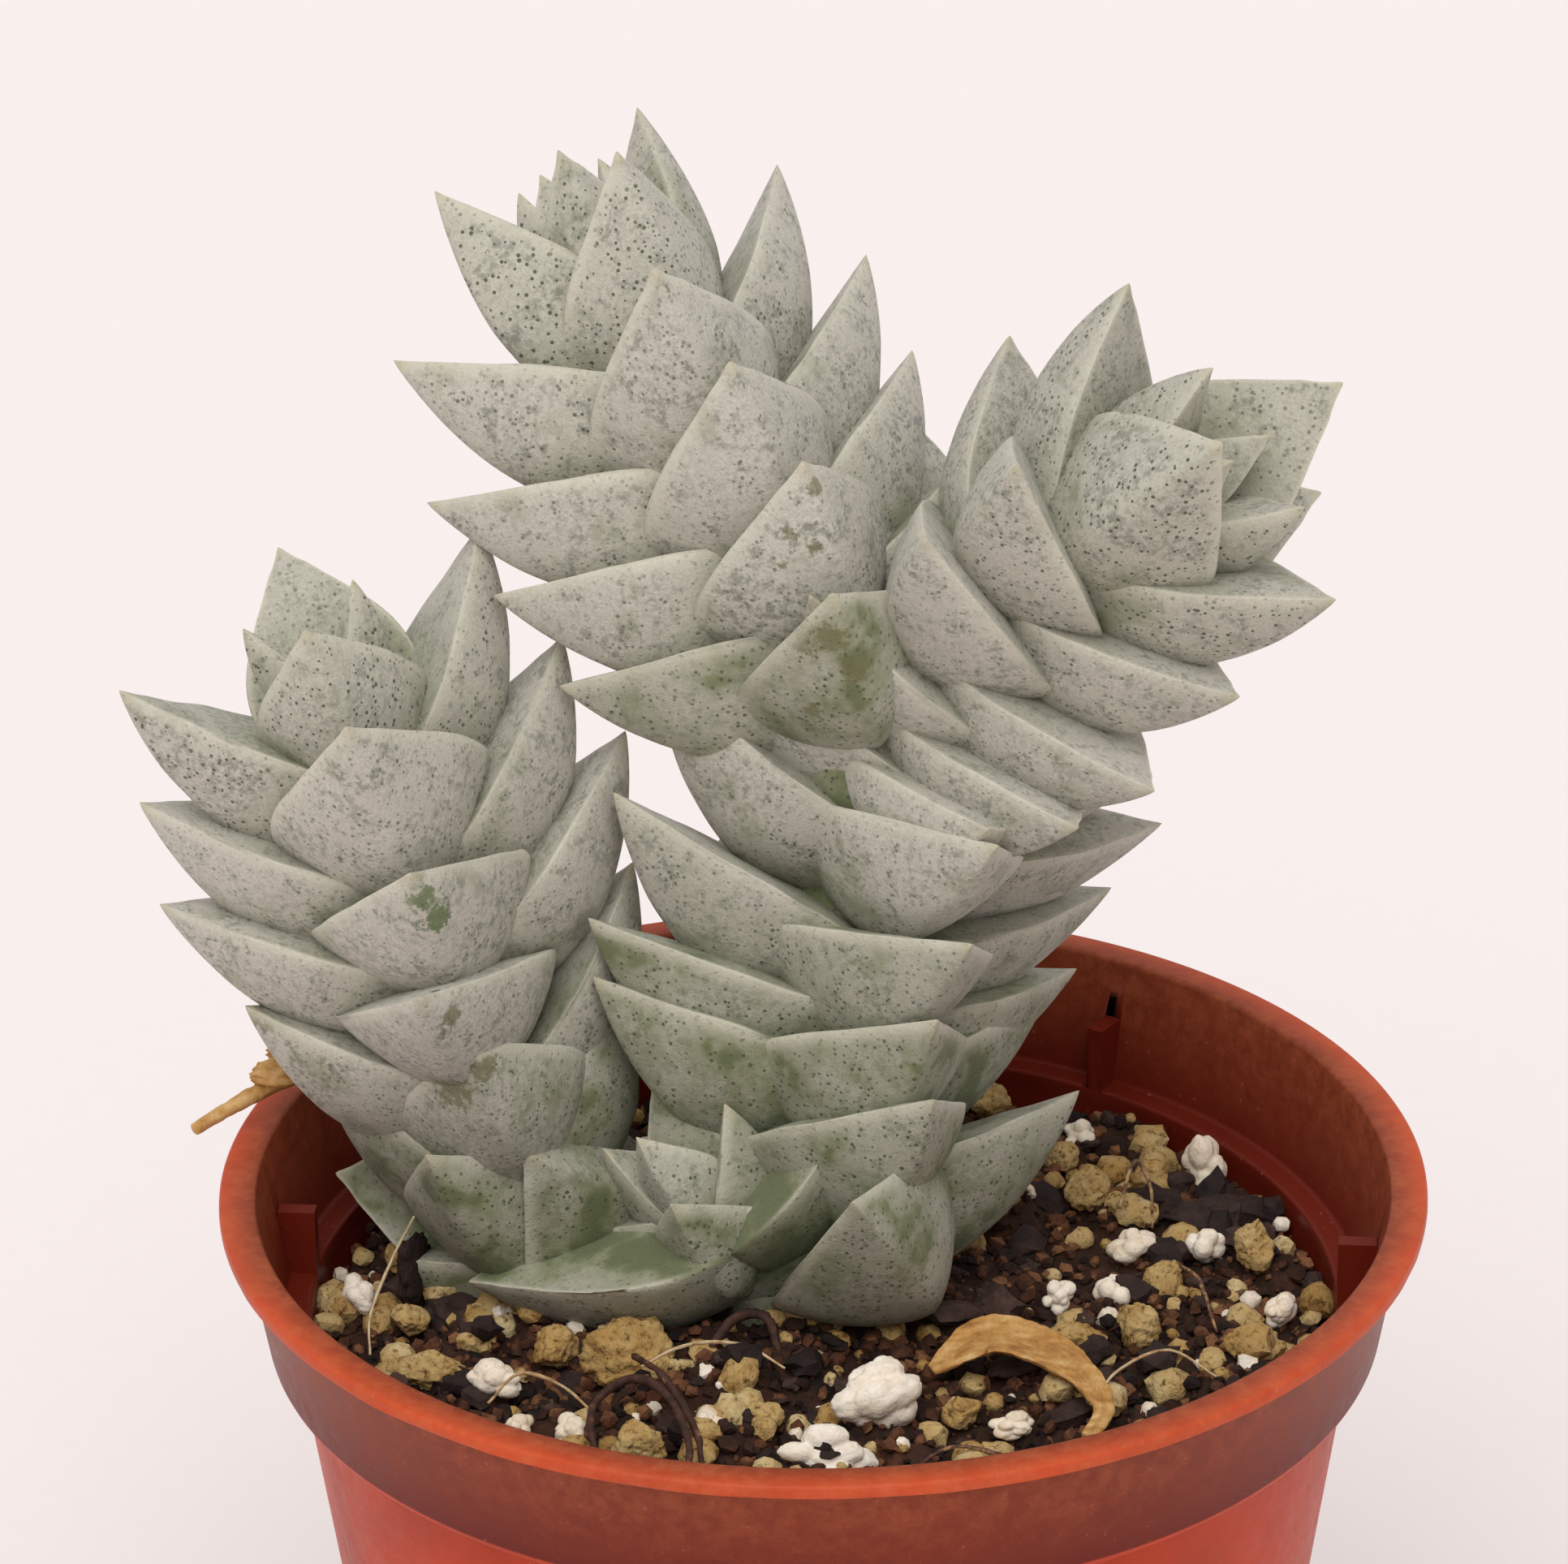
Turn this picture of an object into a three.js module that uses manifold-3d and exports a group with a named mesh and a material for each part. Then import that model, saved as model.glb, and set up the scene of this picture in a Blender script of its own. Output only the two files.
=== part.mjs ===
// A small potted Crassula deceptor: three leafy heads and a basal offset in a 60 mm plastic nursery pot.
// Millimetres, +Z up, origin at the centre of the pot's underside. -Y faces the viewer of the photograph.
import * as THREE from 'three';
import { mergeVertices } from 'three/addons/utils/BufferGeometryUtils.js';
import Module from 'manifold-3d';

const wasm = await Module();
wasm.setup();

// Pot: a thin moulded shell with a flat lip, a wide collar and a tapered body
const potHeight = 54;
const lipRadius = 30;
const lipInnerRadius = 28.2;
const lipThickness = 0.7;
const collarTopRadius = 29;
const collarFootRadius = 27.9;
const collarFootHeight = 46.7;
const bodyFootRadius = 20.3;
const bodyTaper = 0.136;
const potWall = 0.9;
const baseThickness = 1.2;
const ledgeHeight = 47.4;
const ledgeOuterRadius = 27;
const potSides = 48;
const ribCount = 6;
const ribFirstAngle = -5;
const ribSize = { thick: 0.9, tall: 3.5, deep: 1.5 };
const drainHoles = { count: 6, radius: 2.2, circle: 12.5, sides: 12 };

// Clear space left between pieces that rest against each other, and the space a piece is cut clear by
const restGap = 0.3;
const cutGap = 0.4;

// Soil: fills the pot to 8 mm below the lip, with grit raised from its top
const soilLevel = 45.6;
const soilFloor = baseThickness + restGap;
const soilRings = 8;
const soilSides = 32;
const grit = { count: 90, smallest: 1.2, largest: 2.4, lift: 0.5, seed: 11 };

// Stones longer than this are shaped from a finer ball
const fineStoneSize = 3.9;

// Full-grown leaf: length comes with each stem, the rest is shared
const leafWidth = 11.4;
const leafDepth = 5.6;
const leafFullLength = 13;
const leafCrown = 0.6;
const leafCup = 0.3;
const leafCurl = 0.3;
const leafBaseWidth = 0.8;
const leafShoulder = 0.26;
const leafStations = [0, 0.26, 0.54, 0.8];
const youngLeafStations = [0, 0.26, 0.66];
const youngLeafLength = 10;
const leafSides = 8;
const coreSides = 8;

// Each stem: a cubic curve, its pairs of leaves, and how five values change from the oldest pair (0) up.
// along: mm from the foot of the curve; turn: degrees round the axis; length: mm; lift: degrees above flat;
// fullness: width of the leaf against its full-grown width.
const stems = {
  main: {
    axis: [[2, 2, 48.7], [-3, 3, 53.2], [0.5, 16.8, 74.4], [18.7, 2.9, 89.7]],
    pairs: 22,
    along: [
      [0, 0.4], [1, 3.4], [2, 6], [3, 9.6], [4, 9.8], [5, 12.8], [6, 15.8], [7, 16.8], [8, 22], [9, 22.4],
      [10, 25.6], [11, 26.8], [17, 40], [21, 46],
    ],
    turn: [
      [0, -75], [1, -80], [2, -59], [7, -60], [10, -66], [12, -48], [14, -38], [16, -28], [17, -36], [18, -18], [19, -16],
      [20, -12], [21, -12],
    ],
    length: [
      [0, 13.5], [4, 13.4], [5, 14], [6, 14.6], [7, 14.8], [8, 13.8], [9, 15], [10, 12.6], [15, 13.4], [16, 12.6],
      [17, 13.6], [18, 13.6], [19, 13.4], [20, 9.6], [21, 7],
    ],
    lift: [
      [0, 15], [1, 4], [2, 8], [3, 17], [5, 11], [8, 19], [11, 9], [14, 14], [15, 24], [17, 33], [18, 47], [19, 63],
      [20, 64], [21, 72],
    ],
    fullness: [[0, 1], [16, 1], [18, 0.84], [19, 0.88], [20, 0.75], [21, 0.7]],
    coreRadius: 3.4,
    rootDepth: 11,
  },
  left: {
    axis: [[-6.1, 10, 43.8], [-18.8, 4, 49.8], [-11.7, 4.5, 45.3], [-22.8, 5.5, 75.7]],
    pairs: 14,
    along: [[0, 6], [5, 20.2], [6, 24.8], [7, 27], [8, 29.2], [13, 41]],
    turn: [[0, -115], [1, -98], [3, -62], [5, -52], [6, -64], [7, -56], [10, -56], [11, -48], [12, -56], [13, -52]],
    length: [
      [0, 12.5], [3, 11.5], [6, 13.2], [7, 14.2], [8, 13.6], [9, 13.8], [10, 14.5], [11, 13.8], [12, 11], [13, 6],
    ],
    lift: [
      [0, 75], [1, 53], [2, 55], [5, 34], [6, 20], [7, 29], [8, 27], [9, 35], [10, 39], [12, 49], [13, 58],
    ],
    fullness: [[0, 1], [10, 1], [11, 0.82], [12, 0.95], [13, 0.8]],
    coreRadius: 3.2,
    rootDepth: 8,
  },
  top: {
    axis: [[2, 5.9, 71.4], [3.9, 5.4, 75.4], [-5, 11.3, 84.3], [-9.6, 15.3, 94.2]],
    pairs: 14,
    along: [[0, 6.8], [8, 23.8], [13, 29.5]],
    turn: [
      [0, -80], [1, -80], [2, -70], [3, -76], [4, -73], [6, -77], [7, -71], [8, -66], [9, -54], [10, -80], [13, -70],
    ],
    length: [[0, 12], [5, 14.5], [7, 14.3], [8, 13.2], [9, 13.4], [10, 10.4], [11, 8], [12, 6], [13, 4]],
    lift: [[0, 15], [4, 25], [5, 26], [7, 37], [8, 48], [9, 59], [10, 66], [13, 84]],
    fullness: [[0, 1], [7, 0.92], [9, 0.68], [10, 0.8], [13, 0.9]],
    coreRadius: 3.2,
  },
  offset: {
    axis: [[-3, 1, 46.7], [-4, 1, 48.4], [-4.5, 0.5, 50.2], [-5.5, 0.5, 51.8]],
    pairs: 4,
    along: [[0, 5.2], [1, 3.4], [3, 6]],
    turn: [[0, 8], [1, -10], [3, -10]],
    length: [[0, 13], [1, 8], [3, 6.5]],
    lift: [[0, 16], [1, 52], [3, 66]],
    fullness: [[0, 1]],
    coreRadius: 2,
    rootDepth: 4,
  },
};
// Cores and roots, in core radii: the core narrows towards the youngest pair, the root towards its end
const coreStops = [[0, 1], [0.25, 1], [0.5, 1], [0.75, 0.85], [1, 0.3]];
const rootTopRadius = 0.9;
const rootEndRadius = 0.45;
const rootOverlap = 1;

// Loose stones on the soil: [x, y, length, width, height, turn in degrees], sizes in mm
const perliteStones = [
  [-16.1, -8, 3.7, 2.9, 2.6, 10], [-14.9, -12.3, 2.2, 1.8, 1.7, 0], [-12.6, -12.4, 2.2, 1.9, 1.7, 30],
  [-6, -12.6, 2.5, 2.9, 2.6, 0], [2.6, -10.6, 4.6, 3.6, 3.6, 20], [-0.2, -15.6, 5.4, 3.2, 3, 0],
  [9, -12.4, 2.5, 1.9, 1.6, 0], [11.8, 0, 2.2, 2.1, 2, 40], [14.4, 0.3, 2.1, 2.3, 2.2, 0],
  [16, 5.2, 3.9, 2.6, 2.3, 15], [19.6, 5, 2.4, 2.4, 2.6, 70], [19.8, 12.2, 2.6, 2.8, 4.4, 0],
  [13.7, 16.8, 2.4, 2.2, 2.4, 20], [22.9, -1.9, 2.5, 2.5, 2.2, 0], [-23.3, 0.2, 2, 3.2, 3, 20],
  [-21, 8.6, 1.8, 1.7, 1.4, 0], [-14, 18.5, 3, 2.4, 2.2, 50], [3, 21.5, 3.4, 2.6, 2.4, 10],
];
const pumiceStones = [
  [-9.4, -5.6, 5.4, 3.8, 3.8, 8], [-13.4, -5, 3, 2.8, 2.8, 40], [-19.7, -7, 4, 2.9, 2.6, 0],
  [-17.5, -3.6, 2.8, 2.4, 2.2, 30], [-20.8, -1.6, 2.6, 2.3, 2, 0], [-21.4, 4.9, 2.6, 2.2, 1.9, 60],
  [-9, -14, 3.5, 2.8, 2.6, 0], [-3.2, -11.4, 2.6, 2.2, 2, 15], [17.2, 12.2, 2.7, 2.4, 2.6, 0],
  [13.8, 11, 3.1, 2.9, 2.9, 35], [22, 4.4, 2.4, 3.4, 3.6, 10], [17.2, 1.6, 2.8, 2.2, 2.2, 20],
  [12.2, -4.4, 3.4, 2.4, 2.2, 0], [15.6, -3.2, 2.7, 2.5, 2.5, 50], [21.2, -5.6, 3.6, 2.8, 2.5, 0],
  [6.6, -11, 2.6, 2.2, 1.9, 0], [12.6, 14.6, 2.4, 2, 2.1, 0], [-6, 20, 4, 3.2, 2.8, 30],
  [9, 21, 3, 2.8, 2.4, 0],
];
const barkChips = [
  [-20.8, 1.6, 4.4, 1.6, 4.6, 75], [20.4, 8.2, 4.8, 2.8, 1.8, 10], [9.2, -6.6, 3.8, 1.9, 1.4, 25],
];

// Dry leaf lying curled on the soil, and the withered flower stalk under the left head
const dryLeafPath = [
  [5.2, -8.6, 47.4], [8.2, -7.4, 48.4], [11.6, -9.4, 48.2], [13.4, -12, 47.3], [12.6, -14.4, 47],
];
const dryLeafHalfWidths = [0.5, 1.9, 1.2, 0.6, 0.5];
const dryLeafThickness = 0.7;
const stalkPath = [[-22.4, 7.4, 57.4], [-25.6, 7, 56.6], [-28.4, 6, 55.7], [-31.6, 3.4, 54.9]];
const stalkRadius = 0.5;
const driedFlowers = [[-25.2, 6.4, 57.2, 1.3], [-26.8, 7.4, 57, 1.1], [-27.6, 6, 56.6, 1]];

const potMaterial = new THREE.MeshStandardMaterial({ color: 0xb4553a, roughness: 0.45, metalness: 0 });
const soilMaterial = new THREE.MeshStandardMaterial({ color: 0x3a2a22, roughness: 1, metalness: 0 });
const leafMaterial = new THREE.MeshStandardMaterial({ color: 0xb3b3a2, roughness: 0.75, metalness: 0 });
const perliteMaterial = new THREE.MeshStandardMaterial({ color: 0xe6ddd0, roughness: 0.95, metalness: 0 });
const pumiceMaterial = new THREE.MeshStandardMaterial({ color: 0xb79a62, roughness: 0.95, metalness: 0 });
const barkMaterial = new THREE.MeshStandardMaterial({ color: 0x2e2422, roughness: 0.9, metalness: 0 });
const dryMaterial = new THREE.MeshStandardMaterial({ color: 0xa9784a, roughness: 0.8, metalness: 0 });

const radians = THREE.MathUtils.degToRad;
const vector = ([x, y, z]) => new THREE.Vector3(x, y, z);

// Value at position x on a line through [position, value] points
function between(points, x) {
  if (x <= points[0][0]) return points[0][1];
  for (let i = 1; i < points.length; i++) {
    const [x0, y0] = points[i - 1];
    const [x1, y1] = points[i];
    if (x <= x1) return y0 + (y1 - y0) * (x - x0) / (x1 - x0);
  }
  return points[points.length - 1][1];
}

// Small repeatable random number generator, 0 to 1
function seeded(seed) {
  let state = seed >>> 0;
  return () => {
    state = (state * 1664525 + 1013904223) >>> 0;
    return state / 4294967296;
  };
}

// A closed mesh as a solid, and a solid back as a mesh geometry
function toSolid(geometry) {
  const bare = geometry.clone();
  bare.deleteAttribute('normal');
  bare.deleteAttribute('uv');
  const merged = mergeVertices(bare, 1e-4);
  const triangles = [];
  const index = merged.index.array;
  for (let i = 0; i < index.length; i += 3) {
    const [a, b, c] = [index[i], index[i + 1], index[i + 2]];
    if (a !== b && b !== c && c !== a) triangles.push(a, b, c);
  }
  return new wasm.Manifold(new wasm.Mesh({
    numProp: 3,
    vertProperties: new Float32Array(merged.attributes.position.array),
    triVerts: new Uint32Array(triangles),
  }));
}

function toGeometry(solid) {
  const mesh = solid.getMesh();
  const geometry = new THREE.BufferGeometry();
  geometry.setAttribute('position', new THREE.BufferAttribute(new Float32Array(mesh.vertProperties), 3));
  geometry.setIndex(new THREE.BufferAttribute(new Uint32Array(mesh.triVerts), 1));
  geometry.computeVertexNormals();
  return geometry;
}

// The largest body of a solid: loose scraps and sealed hollows are left behind
function largestBody(solid) {
  return solid.decompose().reduce((best, body) => (body.volume() > best.volume() ? body : best));
}

const fuse = (solids) => solids.reduce((all, solid) => all.add(solid));

// A closed skin from rings of points, with a middle point closing each end
function skin(rings, startPoint, endPoint) {
  const sides = rings[0].length;
  const positions = [];
  rings.flat().forEach((p) => positions.push(p.x, p.y, p.z));
  positions.push(startPoint.x, startPoint.y, startPoint.z, endPoint.x, endPoint.y, endPoint.z);
  const start = rings.length * sides;
  const end = start + 1;
  const last = (rings.length - 1) * sides;
  const triangles = [];
  for (let j = 0; j < sides; j++) {
    const next = (j + 1) % sides;
    triangles.push(start, next, j, end, last + j, last + next);
    for (let i = 0; i < rings.length - 1; i++) {
      const [a, b] = [i * sides + j, i * sides + next];
      triangles.push(a, b, b + sides, a, b + sides, a + sides);
    }
  }
  const geometry = new THREE.BufferGeometry();
  geometry.setAttribute('position', new THREE.Float32BufferAttribute(positions, 3));
  geometry.setIndex(triangles);
  return geometry;
}

// Points, directions and steady side vectors along a stem's curve, at a distance from its foot
function stemFrames(axis) {
  const steps = 200;
  const curve = new THREE.CubicBezierCurve3(...axis.map(vector));
  const frames = [];
  let side = new THREE.Vector3(1, 0, 0);
  let distance = 0;
  for (let i = 0; i <= steps; i++) {
    const point = curve.getPoint(i / steps);
    const along = curve.getTangent(i / steps).normalize();
    if (i > 0) distance += point.distanceTo(frames[i - 1].point);
    side = side.clone().addScaledVector(along, -side.dot(along)).normalize();
    frames.push({ distance, point, along, side });
  }
  return (at) => {
    const frame = frames.find((f) => f.distance >= at) ?? frames[steps];
    const { along, side: first } = frame;
    const point = frame.point.clone().addScaledVector(along, at - frame.distance);
    return { point, along, first, second: new THREE.Vector3().crossVectors(along, first) };
  };
}

// One leaf: pointed boat shape, flat to slightly crowned above, keeled below, crisp margins.
// u runs from the stem axis to the tip; the section runs round from one margin, over the top and under.
// The outline is an ogee: full at the shoulder, hollow towards a blunt tip.
function leafSolid(place, length, fullness, grow) {
  const size = Math.min(1, length / leafFullLength);
  const halfWidth = (leafWidth / 2) * size ** 1.3 * fullness;
  const depth = leafDepth * size * (0.5 + 0.5 * fullness);
  const { origin, out, across, up } = place;
  const at = (x, y, z) => origin.clone().addScaledVector(out, x).addScaledVector(across, y).addScaledVector(up, z);
  const rings = (length < youngLeafLength ? youngLeafStations : leafStations).map((u) => {
    const t = Math.max(0, (u - leafShoulder) / (1 - leafShoulder));
    const rise = leafBaseWidth + (1 - leafBaseWidth) * Math.sin((Math.PI / 2) * Math.min(1, u / leafShoulder));
    const w = halfWidth * rise * (0.39 * (1 + Math.cos(Math.PI * t ** 1.2)) + 0.22 * (1 - t) ** 0.85) + grow;
    const belly = Math.min(1, 0.9 + 0.1 * (u / leafShoulder));
    const keel = depth * belly * (0.88 * (1 - t * t) + 0.12 * Math.sqrt(1 - t)) + grow;
    const crown = leafCrown * (1 - t) ** 0.8 + grow;
    return Array.from({ length: leafSides }, (_, j) => {
      const angle = (2 * Math.PI * j) / leafSides;
      const s = Math.cos(angle);
      const above = Math.sin(angle) > -1e-9;
      const face = above ? crown * (1 - s * s) : -keel * (1 - Math.abs(s) ** 1.45) ** 0.75;
      const bend = leafCurl * u * u + leafCup * s * s * (1 - t) * Math.sin(Math.PI * u);
      return at(u * (length + grow), w * s, face + bend);
    });
  });
  return toSolid(skin(rings, at(-grow, 0, -depth / 2), at(length + 1.5 * grow, 0, leafCurl)));
}

// The round core of a stem up to its youngest pair, and its plain root straight down into the soil
function coreSolid(stem, frameAt, grow) {
  const reach = between(stem.along, stem.pairs - 1);
  const stops = coreStops.map(([share]) => frameAt(share * reach));
  const radii = coreStops.map(([, share]) => share * stem.coreRadius + grow);
  const rings = stops.map(({ point, first, second }, i) => Array.from({ length: coreSides }, (_, j) => {
    const angle = (2 * Math.PI * j) / coreSides;
    return point.clone().addScaledVector(first, radii[i] * Math.cos(angle))
      .addScaledVector(second, radii[i] * Math.sin(angle));
  }));
  const core = toSolid(skin(rings, stops[0].point, stops[stops.length - 1].point));
  if (!stem.rootDepth) return core;
  const [x, y, z] = stem.axis[0];
  const length = stem.rootDepth + rootOverlap + grow;
  const [top, end] = [rootTopRadius, rootEndRadius].map((share) => share * stem.coreRadius + grow);
  const root = new THREE.CylinderGeometry(top, end, length, coreSides);
  return core.add(toSolid(root.rotateX(Math.PI / 2).translate(x, y, z + rootOverlap - length / 2)));
}

// A leafy stem: crossed pairs of leaves, each pair a quarter turn from the one below
function leafyStem(stem, grow = 0) {
  const frameAt = stemFrames(stem.axis);
  const solids = [coreSolid(stem, frameAt, grow)];
  for (let pair = 0; pair < stem.pairs; pair++) {
    const { point, along, first, second } = frameAt(between(stem.along, pair));
    const length = between(stem.length, pair);
    const fullness = between(stem.fullness, pair);
    const lift = radians(between(stem.lift, pair));
    for (const half of [0, 180]) {
      const turn = radians(between(stem.turn, pair) - (pair % 2 ? 90 : 0) + half);
      const flat = first.clone().multiplyScalar(Math.cos(turn)).addScaledVector(second, Math.sin(turn));
      const place = {
        origin: point,
        out: flat.clone().multiplyScalar(Math.cos(lift)).addScaledVector(along, Math.sin(lift)),
        across: new THREE.Vector3().crossVectors(along, flat),
        up: along.clone().multiplyScalar(Math.cos(lift)).addScaledVector(flat, -Math.sin(lift)),
      };
      solids.push(leafSolid(place, length, fullness, grow));
    }
  }
  return largestBody(fuse(solids));
}

// The pot: one lathed wall, with stacking ribs on its ledge and drain holes through its base
function potSolid() {
  const bodyTopHeight = collarFootHeight - 0.9;
  const bodyTopRadius = bodyFootRadius + bodyTaper * bodyTopHeight;
  const bodyInner = (z) => bodyFootRadius + bodyTaper * z - potWall;
  const profile = [
    [0, 0], [bodyFootRadius - 0.5, 0], [bodyFootRadius, 0.5],
    [bodyTopRadius, bodyTopHeight], [collarFootRadius - 0.6, collarFootHeight - 0.5],
    [collarFootRadius, collarFootHeight], [collarTopRadius, potHeight - lipThickness],
    [lipRadius, potHeight - lipThickness], [lipRadius, potHeight - 0.15], [lipRadius - 0.15, potHeight],
    [lipInnerRadius + 0.2, potHeight], [lipInnerRadius, potHeight - 0.3],
    [ledgeOuterRadius, ledgeHeight], [bodyInner(ledgeHeight - 1.2), ledgeHeight],
    [bodyInner(ledgeHeight - 1.2), ledgeHeight - 1.2], [bodyInner(baseThickness), baseThickness], [0, baseThickness],
  ].map(([r, z]) => new THREE.Vector2(r, z));
  const shell = new THREE.LatheGeometry(profile, potSides).rotateX(Math.PI / 2);
  let solid = toSolid(shell);
  if (solid.volume() < 0) throw new Error('the pot profile runs the wrong way');
  for (let i = 0; i < ribCount; i++) {
    const box = new THREE.BoxGeometry(ribSize.deep + 0.4, ribSize.thick, ribSize.tall + 0.3);
    box.translate(ledgeOuterRadius - ribSize.deep / 2 + 0.4, 0, ledgeHeight + ribSize.tall / 2 - 0.15);
    box.rotateZ(radians(ribFirstAngle + (360 / ribCount) * i));
    solid = solid.add(toSolid(box));
  }
  for (let i = 0; i < drainHoles.count; i++) {
    const hole = new THREE.CylinderGeometry(drainHoles.radius, drainHoles.radius, 4 * baseThickness, drainHoles.sides);
    hole.rotateX(Math.PI / 2).translate(drainHoles.circle, 0, 0);
    hole.rotateZ((2 * Math.PI * (i + 0.5)) / drainHoles.count);
    solid = solid.subtract(toSolid(hole));
  }
  return solid;
}

// Height of the soil's top: gentle waves, with rounded grit raised by a seeded rule
const gritDraw = seeded(grit.seed);
const gritSpots = Array.from({ length: grit.count }, () => {
  const reach = 24 * Math.sqrt(gritDraw());
  const angle = 2 * Math.PI * gritDraw();
  return {
    x: reach * Math.cos(angle),
    y: reach * Math.sin(angle),
    radius: grit.smallest + (grit.largest - grit.smallest) * gritDraw(),
  };
});

function soilHeight(x, y) {
  const waves = 0.35 * Math.sin(0.42 * x + 0.9) * Math.cos(0.36 * y - 0.4);
  const bump = gritSpots.reduce((most, { x: gx, y: gy, radius }) => {
    const near = 1 - ((x - gx) ** 2 + (y - gy) ** 2) / radius ** 2;
    return near > 0 ? Math.max(most, grit.lift * radius * Math.sqrt(near)) : most;
  }, 0);
  return soilLevel + waves + bump;
}

function soilSolid() {
  const wallRadius = (z) => bodyFootRadius + bodyTaper * z - potWall - cutGap;
  const ring = (radius, heightAt) => Array.from({ length: soilSides }, (_, j) => {
    const angle = (2 * Math.PI * j) / soilSides;
    const [x, y] = [radius * Math.cos(angle), radius * Math.sin(angle)];
    return new THREE.Vector3(x, y, heightAt(x, y));
  });
  const edge = wallRadius(soilLevel - 1);
  const rings = [ring(wallRadius(soilFloor), () => soilFloor), ring(edge, () => soilLevel - 1)];
  for (let i = soilRings; i > 0; i--) rings.push(ring((edge - 0.2) * (i / soilRings), soilHeight));
  return toSolid(skin(rings, new THREE.Vector3(0, 0, soilFloor), new THREE.Vector3(0, 0, soilHeight(0, 0))));
}

// A rough stone: a small ball pushed in and out by a seeded rule, squashed to its three sizes
function stoneSolid([x, y, length, width, height, turn], seed, roughness, grow = 0) {
  const detail = Math.max(length, width, height) > fineStoneSize ? 1 : 0;
  const ball = new THREE.IcosahedronGeometry(1, detail);
  ball.deleteAttribute('normal');
  ball.deleteAttribute('uv');
  const rough = mergeVertices(ball, 1e-4);
  const draw = seeded(seed);
  const point = new THREE.Vector3();
  const { position } = rough.attributes;
  for (let i = 0; i < position.count; i++) {
    point.fromBufferAttribute(position, i).multiplyScalar(1 + roughness * (2 * draw() - 1));
    position.setXYZ(i, point.x * (length / 2 + grow), point.y * (width / 2 + grow), point.z * (height / 2 + grow));
  }
  rough.rotateZ(radians(turn)).translate(x, y, soilLevel + 0.6 + height * 0.22);
  return toSolid(rough);
}

// A tube or strip along a path of points, with a width and a thickness at each point
function stripSolid(path, halfWidths, thickness, sides) {
  const curve = new THREE.CatmullRomCurve3(path.map(vector));
  const steps = 2 * (path.length - 1);
  const widths = halfWidths.map((w, i) => [i / (halfWidths.length - 1), w]);
  const rings = [];
  for (let i = 0; i <= steps; i++) {
    const point = curve.getPoint(i / steps);
    const along = curve.getTangent(i / steps);
    const across = new THREE.Vector3().crossVectors(new THREE.Vector3(0, 0, 1), along).normalize();
    const up = new THREE.Vector3().crossVectors(along, across);
    const wide = between(widths, i / steps);
    rings.push(Array.from({ length: sides }, (_, j) => {
      const angle = (2 * Math.PI * j) / sides;
      return point.clone().addScaledVector(across, wide * Math.cos(angle))
        .addScaledVector(up, (thickness / 2) * Math.sin(angle) + 0.25 * wide * Math.cos(angle) ** 2);
    }));
  }
  return toSolid(skin(rings, curve.getPoint(0), curve.getPoint(1)));
}

function stalkSolid() {
  const stalk = stripSolid(stalkPath, stalkPath.map(() => stalkRadius), 2 * stalkRadius, 5);
  const flowers = driedFlowers.map(([x, y, z, radius]) => {
    const bud = new THREE.IcosahedronGeometry(radius, 0).scale(1.3, 0.8, 0.8).translate(x, y, z);
    return toSolid(bud);
  });
  return largestBody(fuse([stalk, ...flowers]));
}

const group = new THREE.Group();
function addPiece(name, solid, material) {
  const mesh = new THREE.Mesh(toGeometry(solid), material);
  mesh.name = name;
  group.add(mesh);
}

// The plant: each stem is cut clear of the ones it leans on
const mainGrown = leafyStem(stems.main, cutGap);
const leftGrown = leafyStem(stems.left, cutGap);
const topGrown = leafyStem(stems.top, cutGap);
const offsetGrown = leafyStem(stems.offset, cutGap);
const plantGrown = fuse([mainGrown, leftGrown, topGrown, offsetGrown]);
const leftStem = largestBody(leafyStem(stems.left).subtract(mainGrown));
const topHead = largestBody(leafyStem(stems.top).subtract(mainGrown).subtract(leftGrown));
const offsetShoot = largestBody(leafyStem(stems.offset).subtract(mainGrown).subtract(leftGrown));

addPiece('pot', potSolid(), potMaterial);
addPiece('plant_main_stem', leafyStem(stems.main), leafMaterial);
addPiece('plant_left_stem', leftStem, leafMaterial);
addPiece('plant_top_head', topHead, leafMaterial);
addPiece('plant_basal_offset', offsetShoot, leafMaterial);

// Stones: each is cut clear of the plant and of the stones placed before it, then the soil is cut clear of all
let soil = largestBody(soilSolid().subtract(plantGrown));
let placed = plantGrown;
const stoneKinds = [
  ['perlite', perliteStones, perliteMaterial, 0.16, 100],
  ['pumice', pumiceStones, pumiceMaterial, 0.13, 200],
  ['bark_chip', barkChips, barkMaterial, 0.2, 300],
];
for (const [kind, stones, material, roughness, seed] of stoneKinds) {
  stones.forEach((stone, i) => {
    const solid = largestBody(stoneSolid(stone, seed + i, roughness).subtract(placed));
    const grown = stoneSolid(stone, seed + i, roughness, cutGap);
    addPiece(`${kind}_${String(i + 1).padStart(2, '0')}`, solid, material);
    placed = placed.add(grown);
    soil = largestBody(soil.subtract(grown));
  });
}
addPiece('soil', soil, soilMaterial);
addPiece('dry_leaf', stripSolid(dryLeafPath, dryLeafHalfWidths, dryLeafThickness, 6), dryMaterial);
addPiece('dry_flower_stalk', largestBody(stalkSolid().subtract(leftGrown)), dryMaterial);

export default group;
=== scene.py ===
# A small potted Crassula deceptor on a pale floor. Shapes are worked out in mm, Blender is in metres.
import math
import bpy
import numpy as np
from mathutils import Matrix, Vector


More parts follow.
